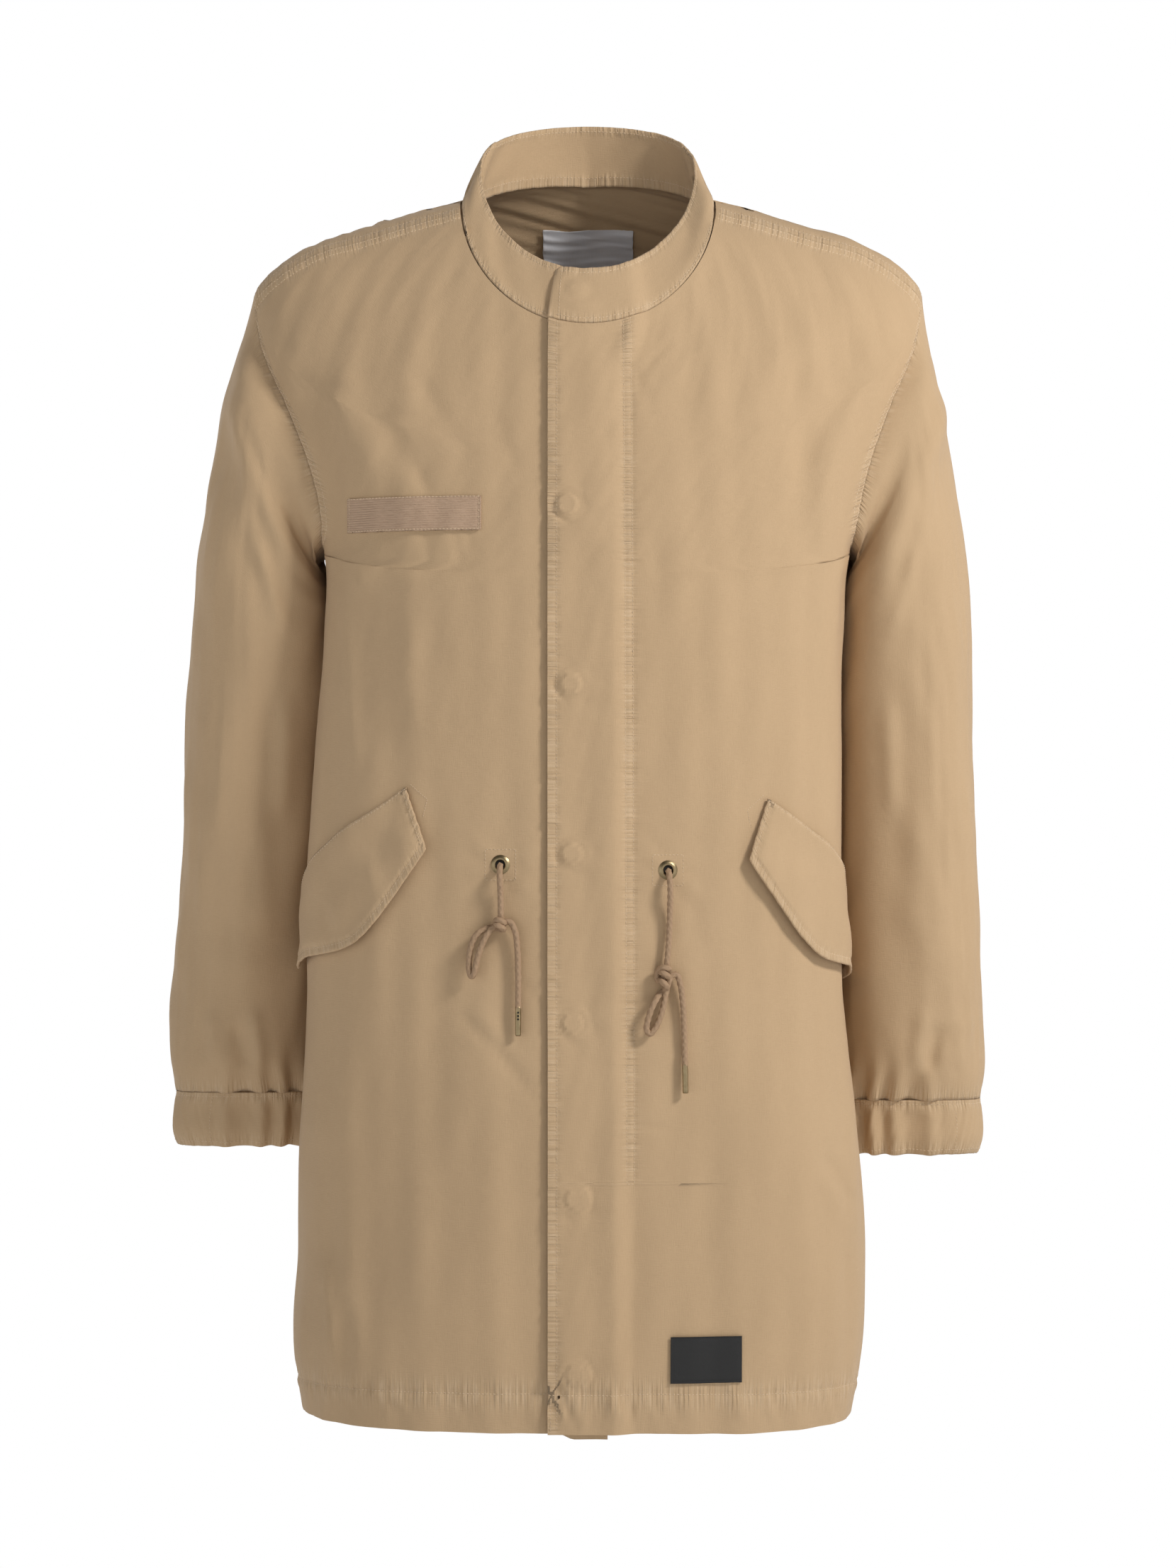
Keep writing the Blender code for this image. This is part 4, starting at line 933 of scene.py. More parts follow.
def seam_stitches(grids):
    """The hem's row on each panel, and the pairs of rows along the armholes and the back's seams."""
    rows = []
    for name, grid in grids.items():
        side = 1 if name == "front_left" else -1
        low = grid["arc"][0]
        rows.append(stitched(grid, np.linspace(low[0], low[-1], 300), np.full(300, HEM + 0.2)))
        if name == "back":
            continue
        for reach in (FELL - 0.6, STITCH_IN + 0.3):
            station = np.linspace(UNDERARM + 4, NECK - 2, 240)
            end = np.interp(station, grid["station"][:, 0], grid["arc"][:, -1])
            rows.append(stitched(grid, end - side * reach, station))
    back = grids["back"]
    for column, way in ((0, 1), (-1, -1)):
        for reach, span in ((FELL - 0.6, (3, NECK - 3)), (STITCH_IN + 0.3, (3, UNDERARM - 4))):
            station = np.linspace(*span, 300)
            end = np.interp(station, back["station"][:, 0], back["arc"][:, column])
            rows.append(stitched(back, end + way * reach, station))
    return rows


def eyelet_stitches(grid, word):
    """The square of stitches round an eyelet."""
    (cx, cz), half = EYELETS[word], EYELET_PATCH / 2
    corners = [(cx - half, cz - half), (cx + half, cz - half), (cx + half, cz + half), (cx - half, cz + half)]
    lines = [np.linspace(a, b, 16) for a, b in zip(corners, corners[1:] + corners[:1])]
    return [stitch_row(*at_height(grid, grid["p"][..., 0], line[:, 0], line[:, 1])) for line in lines]


def pocket_stitches(grid, word):
    """The stitched top end of the hand pocket, beside the flap's upper corner."""
    side = 1 if word == "left" else -1
    x, z = FLAP_TOP[0][0], FLAP_TOP[0][1] - FLAP_LEFT_DROP * (word == "left")
    corners = [(x - 1, z + 1), (x - 14, z - 10), (x - 11, z - 22)]
    lines = [np.linspace(a, b, 12) for a, b in zip(corners, corners[1:])]
    places = [at_height(grid, grid["arc"] * side, line[:, 0], line[:, 1]) for line in lines]
    return [stitch_row(*place, pitch=1.9, length=1.6) for place in places]


def panel_stitches(grids):
    fronts = [(grids[f"front_{word}"], word) for word in ("left", "right")]
    rows = closing_stitches(grids["front_left"]) + seam_stitches(grids)
    for make in (eyelet_stitches, pocket_stitches):
        for grid, word in fronts:
            rows += make(grid, word)
    return rows


# ---------------------------------------------------------------- the pieces


def make_sleeve(side):
    word = "left" if side > 0 else "right"
    turns = np.linspace(0, 360, 113)[:-1]
    end = SLEEVE[-1].run
    first = [0, 1.5, SLEEVE_TURN, 7, 10, 14]
    runs = np.concatenate([first, steps(14, 520, 3.8)[1:], np.linspace(520, end, 11)[1:]])
    p = sleeve_points(turns, runs, side)
    n = grid_normals(p, True) * side * -1
    shown = p * np.array([-side, 1, 1])
    fade = (smooth(runs / 25) * smooth((end - runs) / 25))[:, None]
    facing = n[..., 1]
    creases = SLEEVE_CREASED * fold_height(SLEEVE_CREASES, shown, facing)
    out = (fold_height(SLEEVE_FOLDS, shown, facing) + creases) * fade
    round_it, down = np.meshgrid(turns / 360 * SLEEVE_GIRTH, runs)
    near_seam = smooth(down / 60) * smooth((end - down) / 40)
    ring = np.sin(np.radians(turns)) * 60
    out += 1.7 * drape(ring[None, :] + 0 * down, down + 40 * side, 60, 170, 21 + side) * near_seam
    uneven = ring[None, :] * 1.3 + np.cos(np.radians(turns)) * 40
    out += 0.55 * drape(uneven, down, 18, 44, 24 + side) * near_seam
    out += gather(turns, np.full_like(runs, 99.0)) * 2.0 * near(down - end, 24)
    out += 0.6 * ripple(round_it + 0.5 * down, 16, 27 + side) * near(down - end, 12)
    out += 0.35 * ripple(round_it, 15, 29) * near(down - 4, 8)
    p = p + n * out[..., None]
    lines = [(down - end, round_it, 9.0), (down, round_it, 5.0)]
    grid = finished(p, round_it, down, lines, closed=True, way=-side)
    start, body_n, across = armhole_loop(turns, side)
    inner = grid["p"] - grid["n"] * CLOTH
    inner[0] = seam_inner(grid["p"][0], grid["n"][0], body_n, across, CLOTH)
    rows = [start + across * reach - body_n * (CLOTH + 0.4) for reach in (-ALLOWANCE, 0.5)]
    under = [start + across * reach - body_n * (CLOTH + 1.2) for reach in (-ALLOWANCE, 1.2)]
    return shell(f"cloth_sleeve_{word}", *extended(grid, inner, rows, under), closed=True)


def extended(grid, inner, rows, under):
    """A grid and its inner points with rows added before its first, for an edge tucked into a seam."""
    made = {key: np.concatenate([grid[key][:1]] * len(rows) + [grid[key]]) for key in grid}
    made["p"] = np.concatenate([rows, grid["p"]])
    return made, np.concatenate([under, inner])


def make_cuff(side):
    word = "left" if side > 0 else "right"
    turns = np.linspace(0, 360, 225)[:-1]
    runs = np.concatenate([[SEAM, 1.5, 3.2], np.linspace(5, CUFF[-1].run - 1, 17), [CUFF[-1].run]])
    rings = np.array([sleeve_ring(r, turns, side) for r in CUFF])
    p = spline([r.run for r in CUFF], rings, runs)
    n = grid_normals(p, True) * side * -1
    round_it, down = np.meshgrid(turns / 360 * CUFF_GIRTH, runs)
    out = gather(turns, runs) * 1.6
    out += 0.35 * ripple(round_it + 0.35 * down, 9, 41 + side) * smooth(down / 8)
    out += 0.3 * drape(round_it, down, 26, 40, 43 + side) - 0.4 * near(down - 3.2, 1.3)
    out -= 0.5 * near(down - CUFF[-1].run, 1.5)
    p = p + n * out[..., None]
    lines = [(down - 3, round_it, 5.0), (down - 38, round_it, 6.0)]
    grid = finished(p, round_it, down, lines, closed=True, way=-side)
    obj = shell(f"cloth_cuff_{word}", grid, inner_of(grid, CLOTH), closed=True, soft=("high",))
    rows = []
    index = np.arange(len(turns))
    for height in (3.2, 37.0):
        row = np.interp(height, runs, np.arange(len(runs)))
        rows.append(stitch_row(*sample(grid, np.full(len(turns), row), index.astype(float))))
    for turn in CUFF_SEAMS[word]:
        column = turn / 360 * len(turns)
        at = np.linspace(2, len(runs) - 2, 20)
        rows.append(stitch_row(*sample(grid, at, np.full(20, column))))
    return obj, rows


def make_collar_cloth():
    start, end = collar_ends()
    corner = np.array([0, 0.8, 1.8, 3, 4.4, 6])
    theta = np.concatenate([start - corner, np.linspace(start - 7.6, end + 7.6, 176), end + corner[::-1]])
    rise = np.concatenate([[0, 0.02], np.linspace(0.05, 0.86, 16), [0.9, 0.94, 0.975, 1.0]])
    p = collar_surface(*np.meshgrid(theta, rise))
    n = grid_normals(p, False)
    n *= np.sign((n * (p - COLLAR_MIDDLE)).sum(-1, keepdims=True))
    round_it, up = np.meshgrid(-np.radians(theta) * COLLAR_RADIUS, rise * 50)
    out = 0.5 * drape(round_it, up, 34, 60, 51) * smooth(up / 14)
    out += 0.55 * ripple(round_it + 0.3 * up, 15, 52) * near(up - 50, 8) - 0.4 * near(up - 45.5, 1.4)
    out += 0.5 * ripple(round_it - 0.4 * up, 13, 53) * near(up, 9) - 0.4 * near(up - 3.2, 1.4)
    for angle, height, half, deep in COLLAR_DENTS:
        out += deep * near(round_it + np.radians(angle) * COLLAR_RADIUS, half) * near(up - height, 14)
    snap_at = -np.radians(angle_at_x(COLLAR_MARK[0]) - 360) * COLLAR_RADIUS
    r = np.hypot(round_it - snap_at, up - COLLAR_MARK[1])
    out += 0.7 * smooth((SNAP_MARK - r) / 2.4) - 0.5 * near(r - SNAP_MARK - 1.8, 2.2)
    p = p + n * out[..., None]
    lines = [(up - 48, round_it, 5.0), (up - 1, round_it, 5.0)]
    grid = finished(p, round_it, up, lines, COLLAR_MIDDLE)
    grid["p"][0, :, 2] -= FOOT_CLOSES
    inner = grid["p"] - grid["n"] * DOUBLE
    foot, lower = grid["p"][0] - grid["n"][0] * (CLOTH + 0.3), np.array([0, 0, -FOOT_TURN])
    tucked = extended(grid, inner, [foot + lower, foot], [inner[0] + lower, inner[0] + lower / 2])
    obj = shell("cloth_collar", *tucked, soft=("high", "first", "last"))
    columns = np.arange(len(theta)).astype(float)
    rows = []
    for height in (0.91, 0.065):
        row = np.interp(height, rise, np.arange(len(rise)))
        places, normals = sample(grid, np.full(len(theta), row), columns)
        rows.append(stitch_row(places[3:-3], normals[3:-3]))
        inside = places - normals * DOUBLE
        rows.append(stitch_row(inside[3:-3], -normals[3:-3]))
    for column in (4.3, len(theta) - 5.3):
        at = np.linspace(1.5, len(rise) - 4, 24)
        rows.append(stitch_row(*sample(grid, at, np.full(24, column))))
    return obj, rows


def make_flap(word, grids):
    grid = grids[f"front_{word}"]
    drop = FLAP_LEFT_DROP * (word == "left")
    side = 1 if word == "left" else -1
    across, share = np.linspace(0, 4, 61), np.concatenate([[0, 0.01], np.linspace(0.03, 0.97, 40), [0.99, 1]])
    top, bottom = (spline(range(5), row, across) for row in (FLAP_TOP, FLAP_BOTTOM))
    down = share[::-1, None]
    place = top + (bottom - top) * down[..., None]
    p, n = at_height(grid, grid["arc"] * side, place[..., 0], place[..., 1] - drop)
    size = np.linalg.norm((bottom - top), axis=-1)
    from_low, from_top = (1 - down) * size, down * size
    run = run_along(bottom)[None, :] + 0 * down
    edge = np.minimum(from_low, run)
    smoothed = blurred(p, 5) + n * 0.4
    p = smoothed * 0.85 + p * 0.15
    stand = FLAP_PUFF + FLAP_STAND * np.broadcast_to(down**2, p.shape[:2]) + LYING + DOUBLE
    out = stand + 0.7 * drape(place[..., 0], place[..., 1], 40, 46, 61 + side) * smooth(edge / 14)
    out += 0.5 * smooth((edge - 6.2) / 3) - 0.5 * near(edge - 6.4, 1.3) - 0.8 * near(from_top, 2.0)
    along = np.where(from_low < run, run, from_low)
    out += 0.4 * ripple(along, 9, 63 + side) * near(edge - 3, 5)
    out += 0.45 * near(from_low - 24, 15) * ripple(run, 24, 65 + side)
    p = p + n * out[..., None]
    lines = [(edge - 3.5, along, 4.5), (from_top, run, 3.0)]
    made = finished(p, place[..., 0], place[..., 1], lines, AXIS)
    obj = shell(f"cloth_flap_{word}", made, inner_of(made, DOUBLE), soft=("low", "first", "last"))
    rows = []
    columns = np.arange(61).astype(float)
    row = np.interp(5.8 / size, 1 - share[::-1], np.arange(len(share)))
    rows.append(stitch_row(*sample(made, row[3:], columns[3:])))
    column = np.interp(5.8, run[0], columns)
    at = np.linspace(np.interp(5.8 / size[0], 1 - share[::-1], np.arange(len(share))), len(share) - 2, 40)
    rows.append(stitch_row(*sample(made, at, np.full(40, column))))
    at = np.full(61, len(share) - 3.0)
    rows.append(stitch_row(*sample(made, at, columns)))
    return obj, rows


def blurred(p, times):
    """Points smoothed against their neighbours, so that a flap bridges the small waves under it."""
    for _ in range(times):
        for axis in (0, 1):
            ahead = np.concatenate([np.take(p, range(1, p.shape[axis]), axis), np.take(p, [-1], axis)], axis)
            behind = np.concatenate([np.take(p, [0], axis), np.take(p, range(p.shape[axis] - 1), axis)], axis)
            p = (p * 2 + ahead + behind) / 4
    return p


def make_tape(grids):
    """Ribbed webbing: its ribs run along it."""
    grid = grids["front_right"]
    ribs = 15
    count = ribs * 6 + 1
    u, v = np.meshgrid(np.linspace(-0.5, 0.5, 70), np.linspace(-0.5, 0.5, count))
    x, z = TAPE_CENTRE[0] + u * TAPE_SIZE[0], TAPE_CENTRE[1] + v * TAPE_SIZE[1]
    p, n = at_height(grid, grid["p"][..., 0], x, z)
    p = blurred(p, 6)
    rib = np.abs(np.sin(math.pi * ribs * (v + 0.5)))
    out = LYING + CLOTH - 0.3 + 0.36 * rib + 0.5 * ripple(x, 34, 71) * near(v, 0.6)
    out -= 0.5 * near((0.5 - np.abs(u)) * TAPE_SIZE[0] - 2.2, 1.0)
    p = p + n * out[..., None]
    made = finished(p, x, z, [(0 * x + 99, x, 1.0)], AXIS)
    obj = shell("webbing_tape", made, inner_of(made, 1.0), soft=("low", "high"))
    rows = []
    for row, columns in ((3.0, np.arange(70.0)), (count - 4.0, np.arange(70.0))):
        rows.append(stitch_row(*sample(made, np.full(len(columns), row), columns)))
    for column in (1.6, 67.4):
        rows.append(stitch_row(*sample(made, np.arange(float(count)), np.full(count, column))))
    return obj, rows


def make_patch(grids):
    grid = grids["front_left"]
    u, v = np.meshgrid(np.linspace(-1, 1, 54), np.linspace(-1, 1, 36))
    u, v = (np.sign(t) * (1 - (1 - np.abs(t)) ** 1.25) for t in (u, v))
    x = PATCH_CENTRE[0] + u * PATCH_SIZE[0] / 2
    z = PATCH_CENTRE[1] + v * PATCH_SIZE[1] / 2
    p, n = at_height(grid, grid["p"][..., 0], x, z)
    p = blurred(p, 8)
    gaps = [size / 2 - np.abs(at - middle) for size, at, middle in zip(PATCH_SIZE, (x, z), PATCH_CENTRE)]
    inset = np.minimum(*gaps)
    out = LYING + CLOTH + 0.2 - 0.35 * near(inset - 2.0, 0.5) - 0.5 * near(inset, 0.7)
    p = p + n * out[..., None]
    made = finished(p, x, z, [(0 * x + 99, x, 1.0)], AXIS)
    return shell("leather_patch", made, inner_of(made, CLOTH), soft=("low", "high", "first", "last"))


def make_label(grids):
    """The satin label inside the back, with the waves that its two sewn ends give it."""
    grid = grids["back"]
    u, v = np.meshgrid(np.linspace(-0.5, 0.5, 50), np.linspace(0, 1, 46))
    x, drop = u * LABEL_SIZE[0], v * LABEL_SIZE[1]
    z = BODY[-1].back_z - LABEL_DROP - drop * LABEL_STEEP
    p, n = at_height(grid, grid["p"][..., 0], x, z)
    p, n = blurred(p, 8), -n
    wave = ripple(drop + 2.2 * np.sin(x / 13), 14, 81) + 0.35
    out = CLOTH + LYING + LABEL_THICK + 0.5 + 1.1 * smooth(drop / 10) * wave
    out += 0.5 * ripple(x + 0.3 * drop, 31, 82) * smooth(drop / 16)
    p = p + n * out[..., None]
    made = finished(p, x, drop, [(0 * x + 99, x, 1.0)], AXIS)
    made["n"] = -made["n"]
    return shell("satin_label", made, inner_of(made, 0.5), soft=("low", "high"))


# ---------------------------------------------------------------- cords and metal


def smooth_path(places, step):
    """Evenly spaced points along a smooth curve through these places."""
    places = np.asarray(places, float)
    knots = run_along(places)
    fine = spline(knots, places, np.linspace(0, knots[-1], 40 * len(places)))
    run = run_along(fine)
    at = np.linspace(0, run[-1], int(run[-1] / step) + 2)
    return np.stack([np.interp(at, run, fine[:, axis]) for axis in range(3)], -1)


def on_front(grid, x, z, off):
    p, n = at_height(grid, grid["p"][..., 0], x, z)
    return blurred_line(p, 3) + blurred_line(n, 3) * np.asarray(off)[:, None]


def blurred_line(values, times):
    for _ in range(times):
        inside = (values[:-2] + 2 * values[1:-1] + values[2:]) / 4
        values = np.concatenate([values[:1], inside, values[-1:]])
    return values


def frames_along(path):
    """Two directions across a path at each of its points, turned as little as possible on the way."""
    way = unit(np.gradient(path, axis=0))
    side = np.empty_like(path)
    side[0] = unit(np.cross(way[0], (0.1, 0.2, 1.0)))
    for i in range(1, len(path)):
        side[i] = unit(side[i - 1] - way[i] * (side[i - 1] @ way[i]))
    return way, side, np.cross(way, side)


def tube(name, path, radius, sides, braid=0.0, plait=5.2):
    """A round cord along a path. braid is the height of the plaited strands on it."""
    _, side, other = frames_along(path)
    run = run_along(path)
    turn = np.linspace(0, 2 * math.pi, sides + 1)[:-1]
    t, angle = run[:, None], turn[None, :]
    one, two = np.sin(4 * angle + 2 * math.pi * t / plait), np.sin(4 * angle - 2 * math.pi * t / plait)
    out = radius + braid * (np.maximum(one, two) * 0.75 + 0.25 * one * two - 0.45)
    ring = side[:, None] * np.cos(angle)[..., None] + other[:, None] * np.sin(angle)[..., None]
    points = path[:, None] + ring * np.broadcast_to(out, (len(path), sides))[..., None]
    count = len(path)
    index = np.arange(count * sides).reshape(count, sides)
    ahead = np.roll(index, -1, 1)
    faces = np.stack([index[:-1], ahead[:-1], ahead[1:], index[1:]], -1).reshape(-1, 4).tolist()
    faces += [index[0][::-1].tolist(), index[-1].tolist()]
    mesh = bpy.data.meshes.new(name)
    mesh.from_pydata((points.reshape(-1, 3) * MM).tolist(), [], faces)
    mesh.shade_smooth()
    return link(name, mesh)


def turned(name, profile, base, facing, sides=40):
    """A body turned from open (radius, height) points about an axis; ends at radius 0 close it."""
    facing = unit(np.asarray(facing, float))
    across = unit(np.cross(facing, (0.3, 0.1, 1.0)))
    other = np.cross(facing, across)
    turn = np.linspace(0, 2 * math.pi, sides + 1)[:-1]
    round_it = across * np.cos(turn)[:, None] + other * np.sin(turn)[:, None]
    mesh = bpy.data.meshes.new(name)
    bm = bmesh.new()
    rings = []
    for radius, height in profile:
        points = base + facing * height + round_it * radius
        rings.append([bm.verts.new(Vector(p * MM)) for p in points])
    closed = profile[0] == profile[-1]
    if closed:
        for vertex in rings.pop():
            bm.verts.remove(vertex)
    pairs = list(zip(rings, rings[1:])) + ([(rings[-1], rings[0])] if closed else [])
    for low, high in pairs:
        for i in range(sides):
            k = (i + 1) % sides
            bm.faces.new((low[i], low[k], high[k], high[i]))
    if not closed:
        bm.faces.new(rings[0][::-1])
        bm.faces.new(rings[-1])
    bmesh.ops.recalc_face_normals(bm, faces=bm.faces)
    bm.to_mesh(mesh)
    bm.free()
    mesh.shade_smooth()
    mesh.set_sharp_from_angle(angle=math.radians(48))
    return link(name, mesh)


def make_cord(word, grids):
    grid = grids[f"front_{word}"]
    x, z, off = np.array(CORD_ROUTES[word]).T
    path = blurred_line(smooth_path(on_front(grid, x, z, off), 0.5), 6)
    cord = tube(f"waist_cord_{word}", path, CORD / 2 - 0.12, 24, 0.34)
    way = unit(path[-1] - path[-6])
    start = path[-1] - way * 1.5
    r = TIP_RADIUS
    profile = [(r * 0.9, 0), (r * 1.04, 0.5), (r * 1.04, 1.2), (r, 1.8)]
    if word == "right":
        profile += [(r, 5.0), (r * 0.95, 5.4), (r, 5.8)]
    profile += [(r, TIP_LENGTH - 1.2), (r * 0.93, TIP_LENGTH - 0.4), (r * 0.7, TIP_LENGTH)]
    tip = turned(f"aglet_{word}", profile, start, way, 32)
    marks = []
    if word == "right":
        out = unit(np.cross(np.cross(way, (0, -1.0, 0)), way))
        # The crimps are small raised dots that are dressed near-black: painted shade of their dents.
        for along in (4.2, 6.6, 9.0):
            place = start + way * along + out * (r - 0.35)
            dot = [(0.75, 0), (0.75, 0.4), (0.45, 0.45)]
            marks.append(turned(f"crimp_{len(marks) + 1}", dot, place, out, 14))
    return cord, tip, marks, path


def make_eyelet(word, grids):
    grid = grids[f"front_{word}"]
    x, z = EYELETS[word]
    p, n = at_height(grid, grid["p"][..., 0], [x, x + 4, x, x - 4, x], [z, z, z + 4, z, z - 4])
    facing = unit(n.mean(0))
    base = p[0] + facing * 0.2
    hole, rim, high = EYELET_HOLE, EYELET_OUTER, EYELET_THICK
    profile = [(hole, 0), (hole, high * 0.75), (hole + 0.4, high), (hole + 1.1, high + 0.1)]
    profile += [(hole + 2.1, high * 0.85), (rim - 0.7, high * 0.5), (rim, 0.25), (rim, 0), (hole, 0)]
    ring = turned(f"brass_eyelet_{word}", profile, base, facing, 48)
    # A near-black disc closes the eyelet's hole: painted shade of the hole's inside.
    painted_shade_disc = turned(f"eyelet_painted_shade_{word}", [(hole + 0.1, 0.12), (hole + 0.1, 0.32)], base, facing, 32)
    return ring, painted_shade_disc


# ---------------------------------------------------------------- materials


def math_node(tree, operation, *values, clamp=False):
    node = tree.nodes.new("ShaderNodeMath")
    node.operation = operation
    node.use_clamp = clamp
    for i, value in enumerate(values):
        if isinstance(value, (int, float)):
            node.inputs[i].default_value = value
        else:
            tree.links.new(value, node.inputs[i])
    return node.outputs[0]


def noise(tree, source, scale, detail=2.0, rough=0.5, stretch=None):
    """A noise value about 0.5, read at a coordinate that may be stretched first."""
    if stretch is not None:
        mapping = tree.nodes.new("ShaderNodeMapping")
        mapping.inputs["Scale"].default_value = stretch
        tree.links.new(source, mapping.inputs["Vector"])
        source = mapping.outputs["Vector"]
    node = tree.nodes.new("ShaderNodeTexNoise")
    node.inputs["Scale"].default_value = scale
    node.inputs["Detail"].default_value = detail
    node.inputs["Roughness"].default_value = rough
    tree.links.new(source, node.inputs["Vector"])
    return node.outputs["Fac"]


def mix_colour(tree, factor, one, two):
    node = tree.nodes.new("ShaderNodeMix")
    node.data_type = "RGBA"
    for index, value in ((6, one), (7, two)):
        if isinstance(value, tuple):
            node.inputs[index].default_value = (*value, 1)
        else:
            tree.links.new(value, node.inputs[index])
    tree.links.new(factor, node.inputs[0])
    return node.outputs[2]


def new_material(name, roughness, metallic=0.0, colour=None):
    mat = bpy.data.materials.new(name)
    mat.use_nodes = True
    shader = mat.node_tree.nodes["Principled BSDF"]
    shader.inputs["Roughness"].default_value = roughness
    shader.inputs["Metallic"].default_value = metallic
    if colour is not None:
        shader.inputs["Base Color"].default_value = (*colour, 1)
    return mat, mat.node_tree, shader


def bump(tree, shader, height, distance, strength=1.0, before=None):
    node = tree.nodes.new("ShaderNodeBump")
    node.inputs["Strength"].default_value = strength
    node.inputs["Distance"].default_value = distance
    tree.links.new(height, node.inputs["Height"])
    if before is not None:
        tree.links.new(before, node.inputs["Normal"])
    tree.links.new(node.outputs["Normal"], shader.inputs["Normal"])
    return node.outputs["Normal"]


def uv_of(tree, layer):
    node = tree.nodes.new("ShaderNodeUVMap")
    node.uv_map = layer
    return node.outputs["UV"]


def cotton():
    mat, tree, shader = new_material("cotton", 0.88)
    cloth, seam = uv_of(tree, "cloth"), uv_of(tree, "seam")
    space = tree.nodes.new("ShaderNodeTexCoord").outputs["Object"]
    weft = noise(tree, cloth, 60, 3, 0.6, (3, 26, 1))
    warp = noise(tree, cloth, 60, 3, 0.6, (26, 2, 1))
    fade = noise(tree, space, 7, 4, 0.55)
    streak = noise(tree, cloth, 9, 4, 0.6, (4, 0.7, 1))
    split = tree.nodes.new("ShaderNodeSeparateXYZ")
    tree.links.new(seam, split.inputs[0])
    along, mask = split.outputs[0], split.outputs[1]
    worn = noise(tree, seam, 6, 2, 0.5, (1, 0.12, 1))
    worn = math_node(tree, "MULTIPLY", math_node(tree, "SUBTRACT", worn, 0.42), mask)
    fade, streak = (math_node(tree, "MULTIPLY", value, 0.6) for value in (fade, streak))
    tone = math_node(tree, "ADD", fade, streak)
    tone = math_node(tree, "SUBTRACT", tone, 0.12)
    fibre = math_node(tree, "SUBTRACT", math_node(tree, "ADD", weft, warp), 1.0)
    tone = math_node(tree, "ADD", tone, math_node(tree, "MULTIPLY", fibre, 0.55))
    base = mix_colour(tree, math_node(tree, "ADD", tone, 0.0, clamp=True), CLOTH_COLOURS[1], CLOTH_COLOURS[0])
    lighter = mix_colour(tree, math_node(tree, "MULTIPLY", worn, 1.6, clamp=True), base, CLOTH_WORN)
    tree.links.new(lighter, shader.inputs["Base Color"])
    pucker = noise(tree, seam, 3.4, 2, 0.55, (1, 0.05, 1))
    pucker = math_node(tree, "MULTIPLY", math_node(tree, "SUBTRACT", pucker, 0.5), mask)
    crinkle = noise(tree, space, 55, 3, 0.55)
    soft = noise(tree, space, 17, 2, 0.5)
    crinkle, soft = math_node(tree, "MULTIPLY", crinkle, 0.25), math_node(tree, "MULTIPLY", soft, 0.8)
    height = math_node(tree, "ADD", crinkle, soft)
    height = math_node(tree, "ADD", height, math_node(tree, "MULTIPLY", pucker, 1.3))
    first = bump(tree, shader, height, 0.0016)
    bump(tree, shader, fibre, 0.00022, 0.8, first)
    shader.inputs["Sheen Weight"].default_value = 0.08
    shader.inputs["Sheen Roughness"].default_value = 0.5
    return mat


def webbing():
    mat, tree, shader = new_material("webbing", 0.8)
    cloth = uv_of(tree, "cloth")
    thread = noise(tree, cloth, 300, 2, 0.6, (0.5, 3, 1))
    cross = noise(tree, cloth, 700, 1, 0.5, (1, 0.7, 1))
    base = mix_colour(tree, thread, (0.36, 0.235, 0.15), (0.54, 0.38, 0.265))
    tree.links.new(base, shader.inputs["Base Color"])
    bump(tree, shader, math_node(tree, "ADD", thread, cross), 0.0003, 0.8)
    return mat


def leather():
    mat, tree, shader = new_material("leather", 0.42, colour=(0.0054, 0.00495, 0.00495))
    space = tree.nodes.new("ShaderNodeTexCoord").outputs["Object"]
    grain = noise(tree, space, 900, 3, 0.6)
    bump(tree, shader, grain, 0.0003, 0.7)
    return mat


def satin():
    mat, tree, shader = new_material("satin", 0.38, colour=(0.72, 0.72, 0.75))
    cloth = uv_of(tree, "cloth")
    bump(tree, shader, noise(tree, cloth, 900, 2, 0.5, (1, 0.15, 1)), 0.00012, 0.6)
    shader.inputs["Sheen Weight"].default_value = 0.2
    return mat


def brass():
    mat, tree, shader = new_material("brass", 0.4, 1.0)
    space = tree.nodes.new("ShaderNodeTexCoord").outputs["Object"]
    stain = noise(tree, space, 260, 4, 0.6)
    base = mix_colour(tree, stain, (0.20, 0.145, 0.075), (0.43, 0.34, 0.20))
    tree.links.new(base, shader.inputs["Base Color"])
    bump(tree, shader, stain, 0.00015, 0.5)
    return mat


def plain(name, colour, roughness, grain=0.0):
    mat, tree, shader = new_material(name, roughness, colour=colour)
    if grain:
        space = tree.nodes.new("ShaderNodeTexCoord").outputs["Object"]
        bump(tree, shader, noise(tree, space, 1400, 2, 0.6), grain, 0.8)
    return mat


# ---------------------------------------------------------------- studio


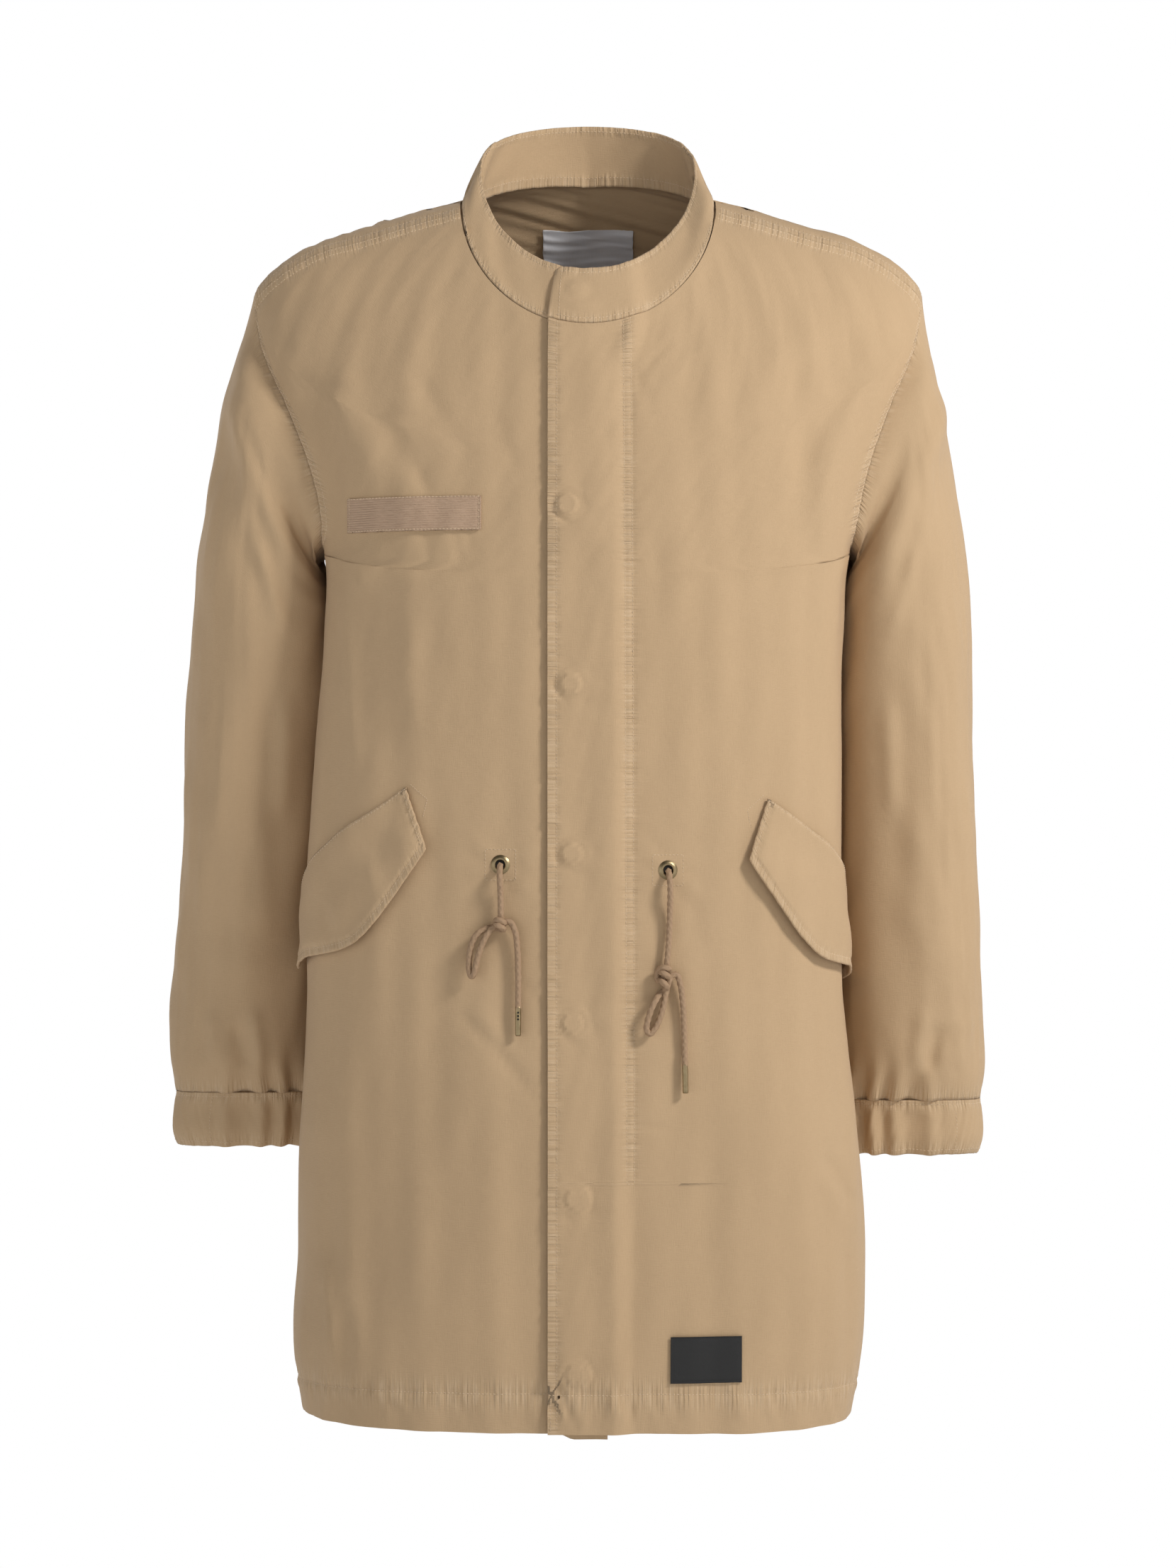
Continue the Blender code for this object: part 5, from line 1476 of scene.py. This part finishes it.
def make_floor():
    """A pale floor that turns into the plain background with distance."""
    bpy.ops.mesh.primitive_circle_add(vertices=96, radius=30, fill_type="NGON", location=(0, 0, FLOOR_Z))
    floor = bpy.context.object
    floor.name = "floor"
    mat, tree, shader = new_material("floor", 0.9, colour=(0.92, 0.92, 0.92))
    space = tree.nodes.new("ShaderNodeTexCoord").outputs["Object"]
    far = tree.nodes.new("ShaderNodeVectorMath")
    far.operation = "LENGTH"
    tree.links.new(space, far.inputs[0])
    fade = tree.nodes.new("ShaderNodeMapRange")
    fade.inputs["From Min"].default_value = 1.2
    fade.inputs["From Max"].default_value = 3.0
    tree.links.new(far.outputs["Value"], fade.inputs["Value"])
    glow = tree.nodes.new("ShaderNodeEmission")
    glow.inputs["Color"].default_value = (1, 1, 1, 1)
    mix = tree.nodes.new("ShaderNodeMixShader")
    tree.links.new(fade.outputs["Result"], mix.inputs["Fac"])
    tree.links.new(shader.outputs["BSDF"], mix.inputs[1])
    tree.links.new(glow.outputs["Emission"], mix.inputs[2])
    tree.links.new(mix.outputs["Shader"], tree.nodes["Material Output"].inputs["Surface"])
    floor.data.materials.append(mat)
    return floor


def area_light(name, place, size, power, target, colour=(1, 1, 1)):
    light = bpy.data.lights.new(name, "AREA")
    light.shape = "RECTANGLE"
    light.size, light.size_y = size
    light.energy = power
    light.color = colour
    obj = link(name, light)
    obj.location = place
    obj.rotation_euler = (Vector(target) - Vector(place)).to_track_quat("-Z", "Y").to_euler()


def make_studio():
    world = bpy.data.worlds.new("studio")
    bpy.context.scene.world = world
    world.use_nodes = True
    tree = world.node_tree
    back = tree.nodes["Background"]
    coordinate = tree.nodes.new("ShaderNodeTexCoord")
    split = tree.nodes.new("ShaderNodeSeparateXYZ")
    tree.links.new(coordinate.outputs["Generated"], split.inputs[0])
    height = math_node(tree, "ABSOLUTE", split.outputs[2])
    fade = tree.nodes.new("ShaderNodeMapRange")
    fade.inputs["From Min"].default_value = 0.19
    fade.inputs["From Max"].default_value = 0.3
    fade.inputs["To Min"].default_value = 1.0
    fade.inputs["To Max"].default_value = 0.08
    tree.links.new(height, fade.inputs["Value"])
    tree.links.new(fade.outputs["Result"], back.inputs["Strength"])
    back.inputs["Color"].default_value = (1, 1, 1, 1)
    area_light("key", (2.7, -1.9, 1.9), (0.8, 0.8), 116, (0, 0, -0.2), (1.0, 0.985, 0.96))
    area_light("fill", (-2.4, -2.4, 0.6), (1.8, 1.8), 5, (0, 0, -0.4))
    area_light("behind", (-1.6, 3.0, 1.2), (2.0, 2.0), 26, (0, 0, -0.4))
    camera = link("camera", bpy.data.cameras.new("camera"))
    camera.location = (0, -CAMERA_AWAY, CAMERA_Z)
    camera.rotation_euler = (math.pi / 2, 0, 0)
    camera.data.sensor_width = 36
    camera.data.lens = 36 * CAMERA_AWAY / (2212 / 1880)
    camera.data.clip_end = 100
    bpy.context.scene.camera = camera
    bpy.context.scene.view_settings.view_transform = "Standard"


# ---------------------------------------------------------------- scene


def dress(obj, material, slot, *nodes):
    """Gives a piece its material, lets it ride on the coat and hides the frame's nodes that it stands for. slot
    is not used.
    """
    obj.data.materials.append(material)
    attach(obj, "root")
    if nodes:
        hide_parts(*nodes)


def dress_cloth(grids):
    """Every cloth piece by the node it stands for, and the rows of stitches on all of them."""
    rows = panel_stitches(grids)
    pieces = {}
    for name, grid in grids.items():
        soft = ("low",) + (("first",) if name != "back" else ())
        pieces[name] = shell(f"cloth_{name}", grid, inner_of(grid, CLOTH), soft=soft, shaded=True)
    for word, side in (("right", -1), ("left", 1)):
        pieces[f"sleeve_{word}"] = make_sleeve(side)
        pieces[f"cuff_{word}"], more = make_cuff(side)
        rows += more
        pieces[f"pocket_flap_{word}"], more = make_flap(word, grids)
        rows += more
    pieces["collar"], more = make_collar_cloth()
    rows += more
    pieces["name_tape"], more = make_tape(grids)
    rows += more
    pieces["hem_label"] = make_patch(grids)
    pieces["neck_label"] = make_label(grids)
    cloth = cotton()
    others = {"name_tape": webbing(), "hem_label": leather(), "neck_label": satin()}
    for name, obj in pieces.items():
        dress(obj, others.get(name, cloth), SLOTS.get(name, "cloth"), name)
    dress(make_stitches("stitches", rows), plain("thread", THREAD_COLOUR, 0.7, 0.0001), "cloth")
    return pieces


def dress_cord(word, grids, cloth, metal, painted_shade):
    cord, tip, marks, path = make_cord(word, grids)
    ring, painted_shade_disc = make_eyelet(word, grids)
    dress(cord, cloth, "cord", *(f"cord_{part}_{word}" for part in ("drop", "knot", "loop", "tail")))
    dress(tip, metal, "metal", f"cord_tip_{word}")
    dress(ring, metal, "metal", f"eyelet_{word}")
    # The eyelet's disc and the crimp dots take the near-black material: painted shade.
    for obj in (painted_shade_disc, *marks):
        dress(obj, painted_shade, "metal")


def main():
    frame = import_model()
    grids = {name: panel_shape(name) for name in ("front_left", "front_right", "back")}
    pieces = dress_cloth(grids)
    metal = brass()
    cord_cloth = plain("cord", (0.36, 0.235, 0.14), 0.8, 0.0002)
    # A near-black material for painted shade: the disc in each eyelet's hole and the crimp dots on the right
    # aglet.
    painted_shade = plain("painted_shade", (0.01, 0.008, 0.006), 0.9)
    for word in ("right", "left"):
        dress_cord(word, grids, cord_cloth, metal, painted_shade)
    for i in range(1, 8):
        frame["nodes"][f"snap_{i}"].material_slots[0].material = metal
    make_floor()
    make_studio()


main()
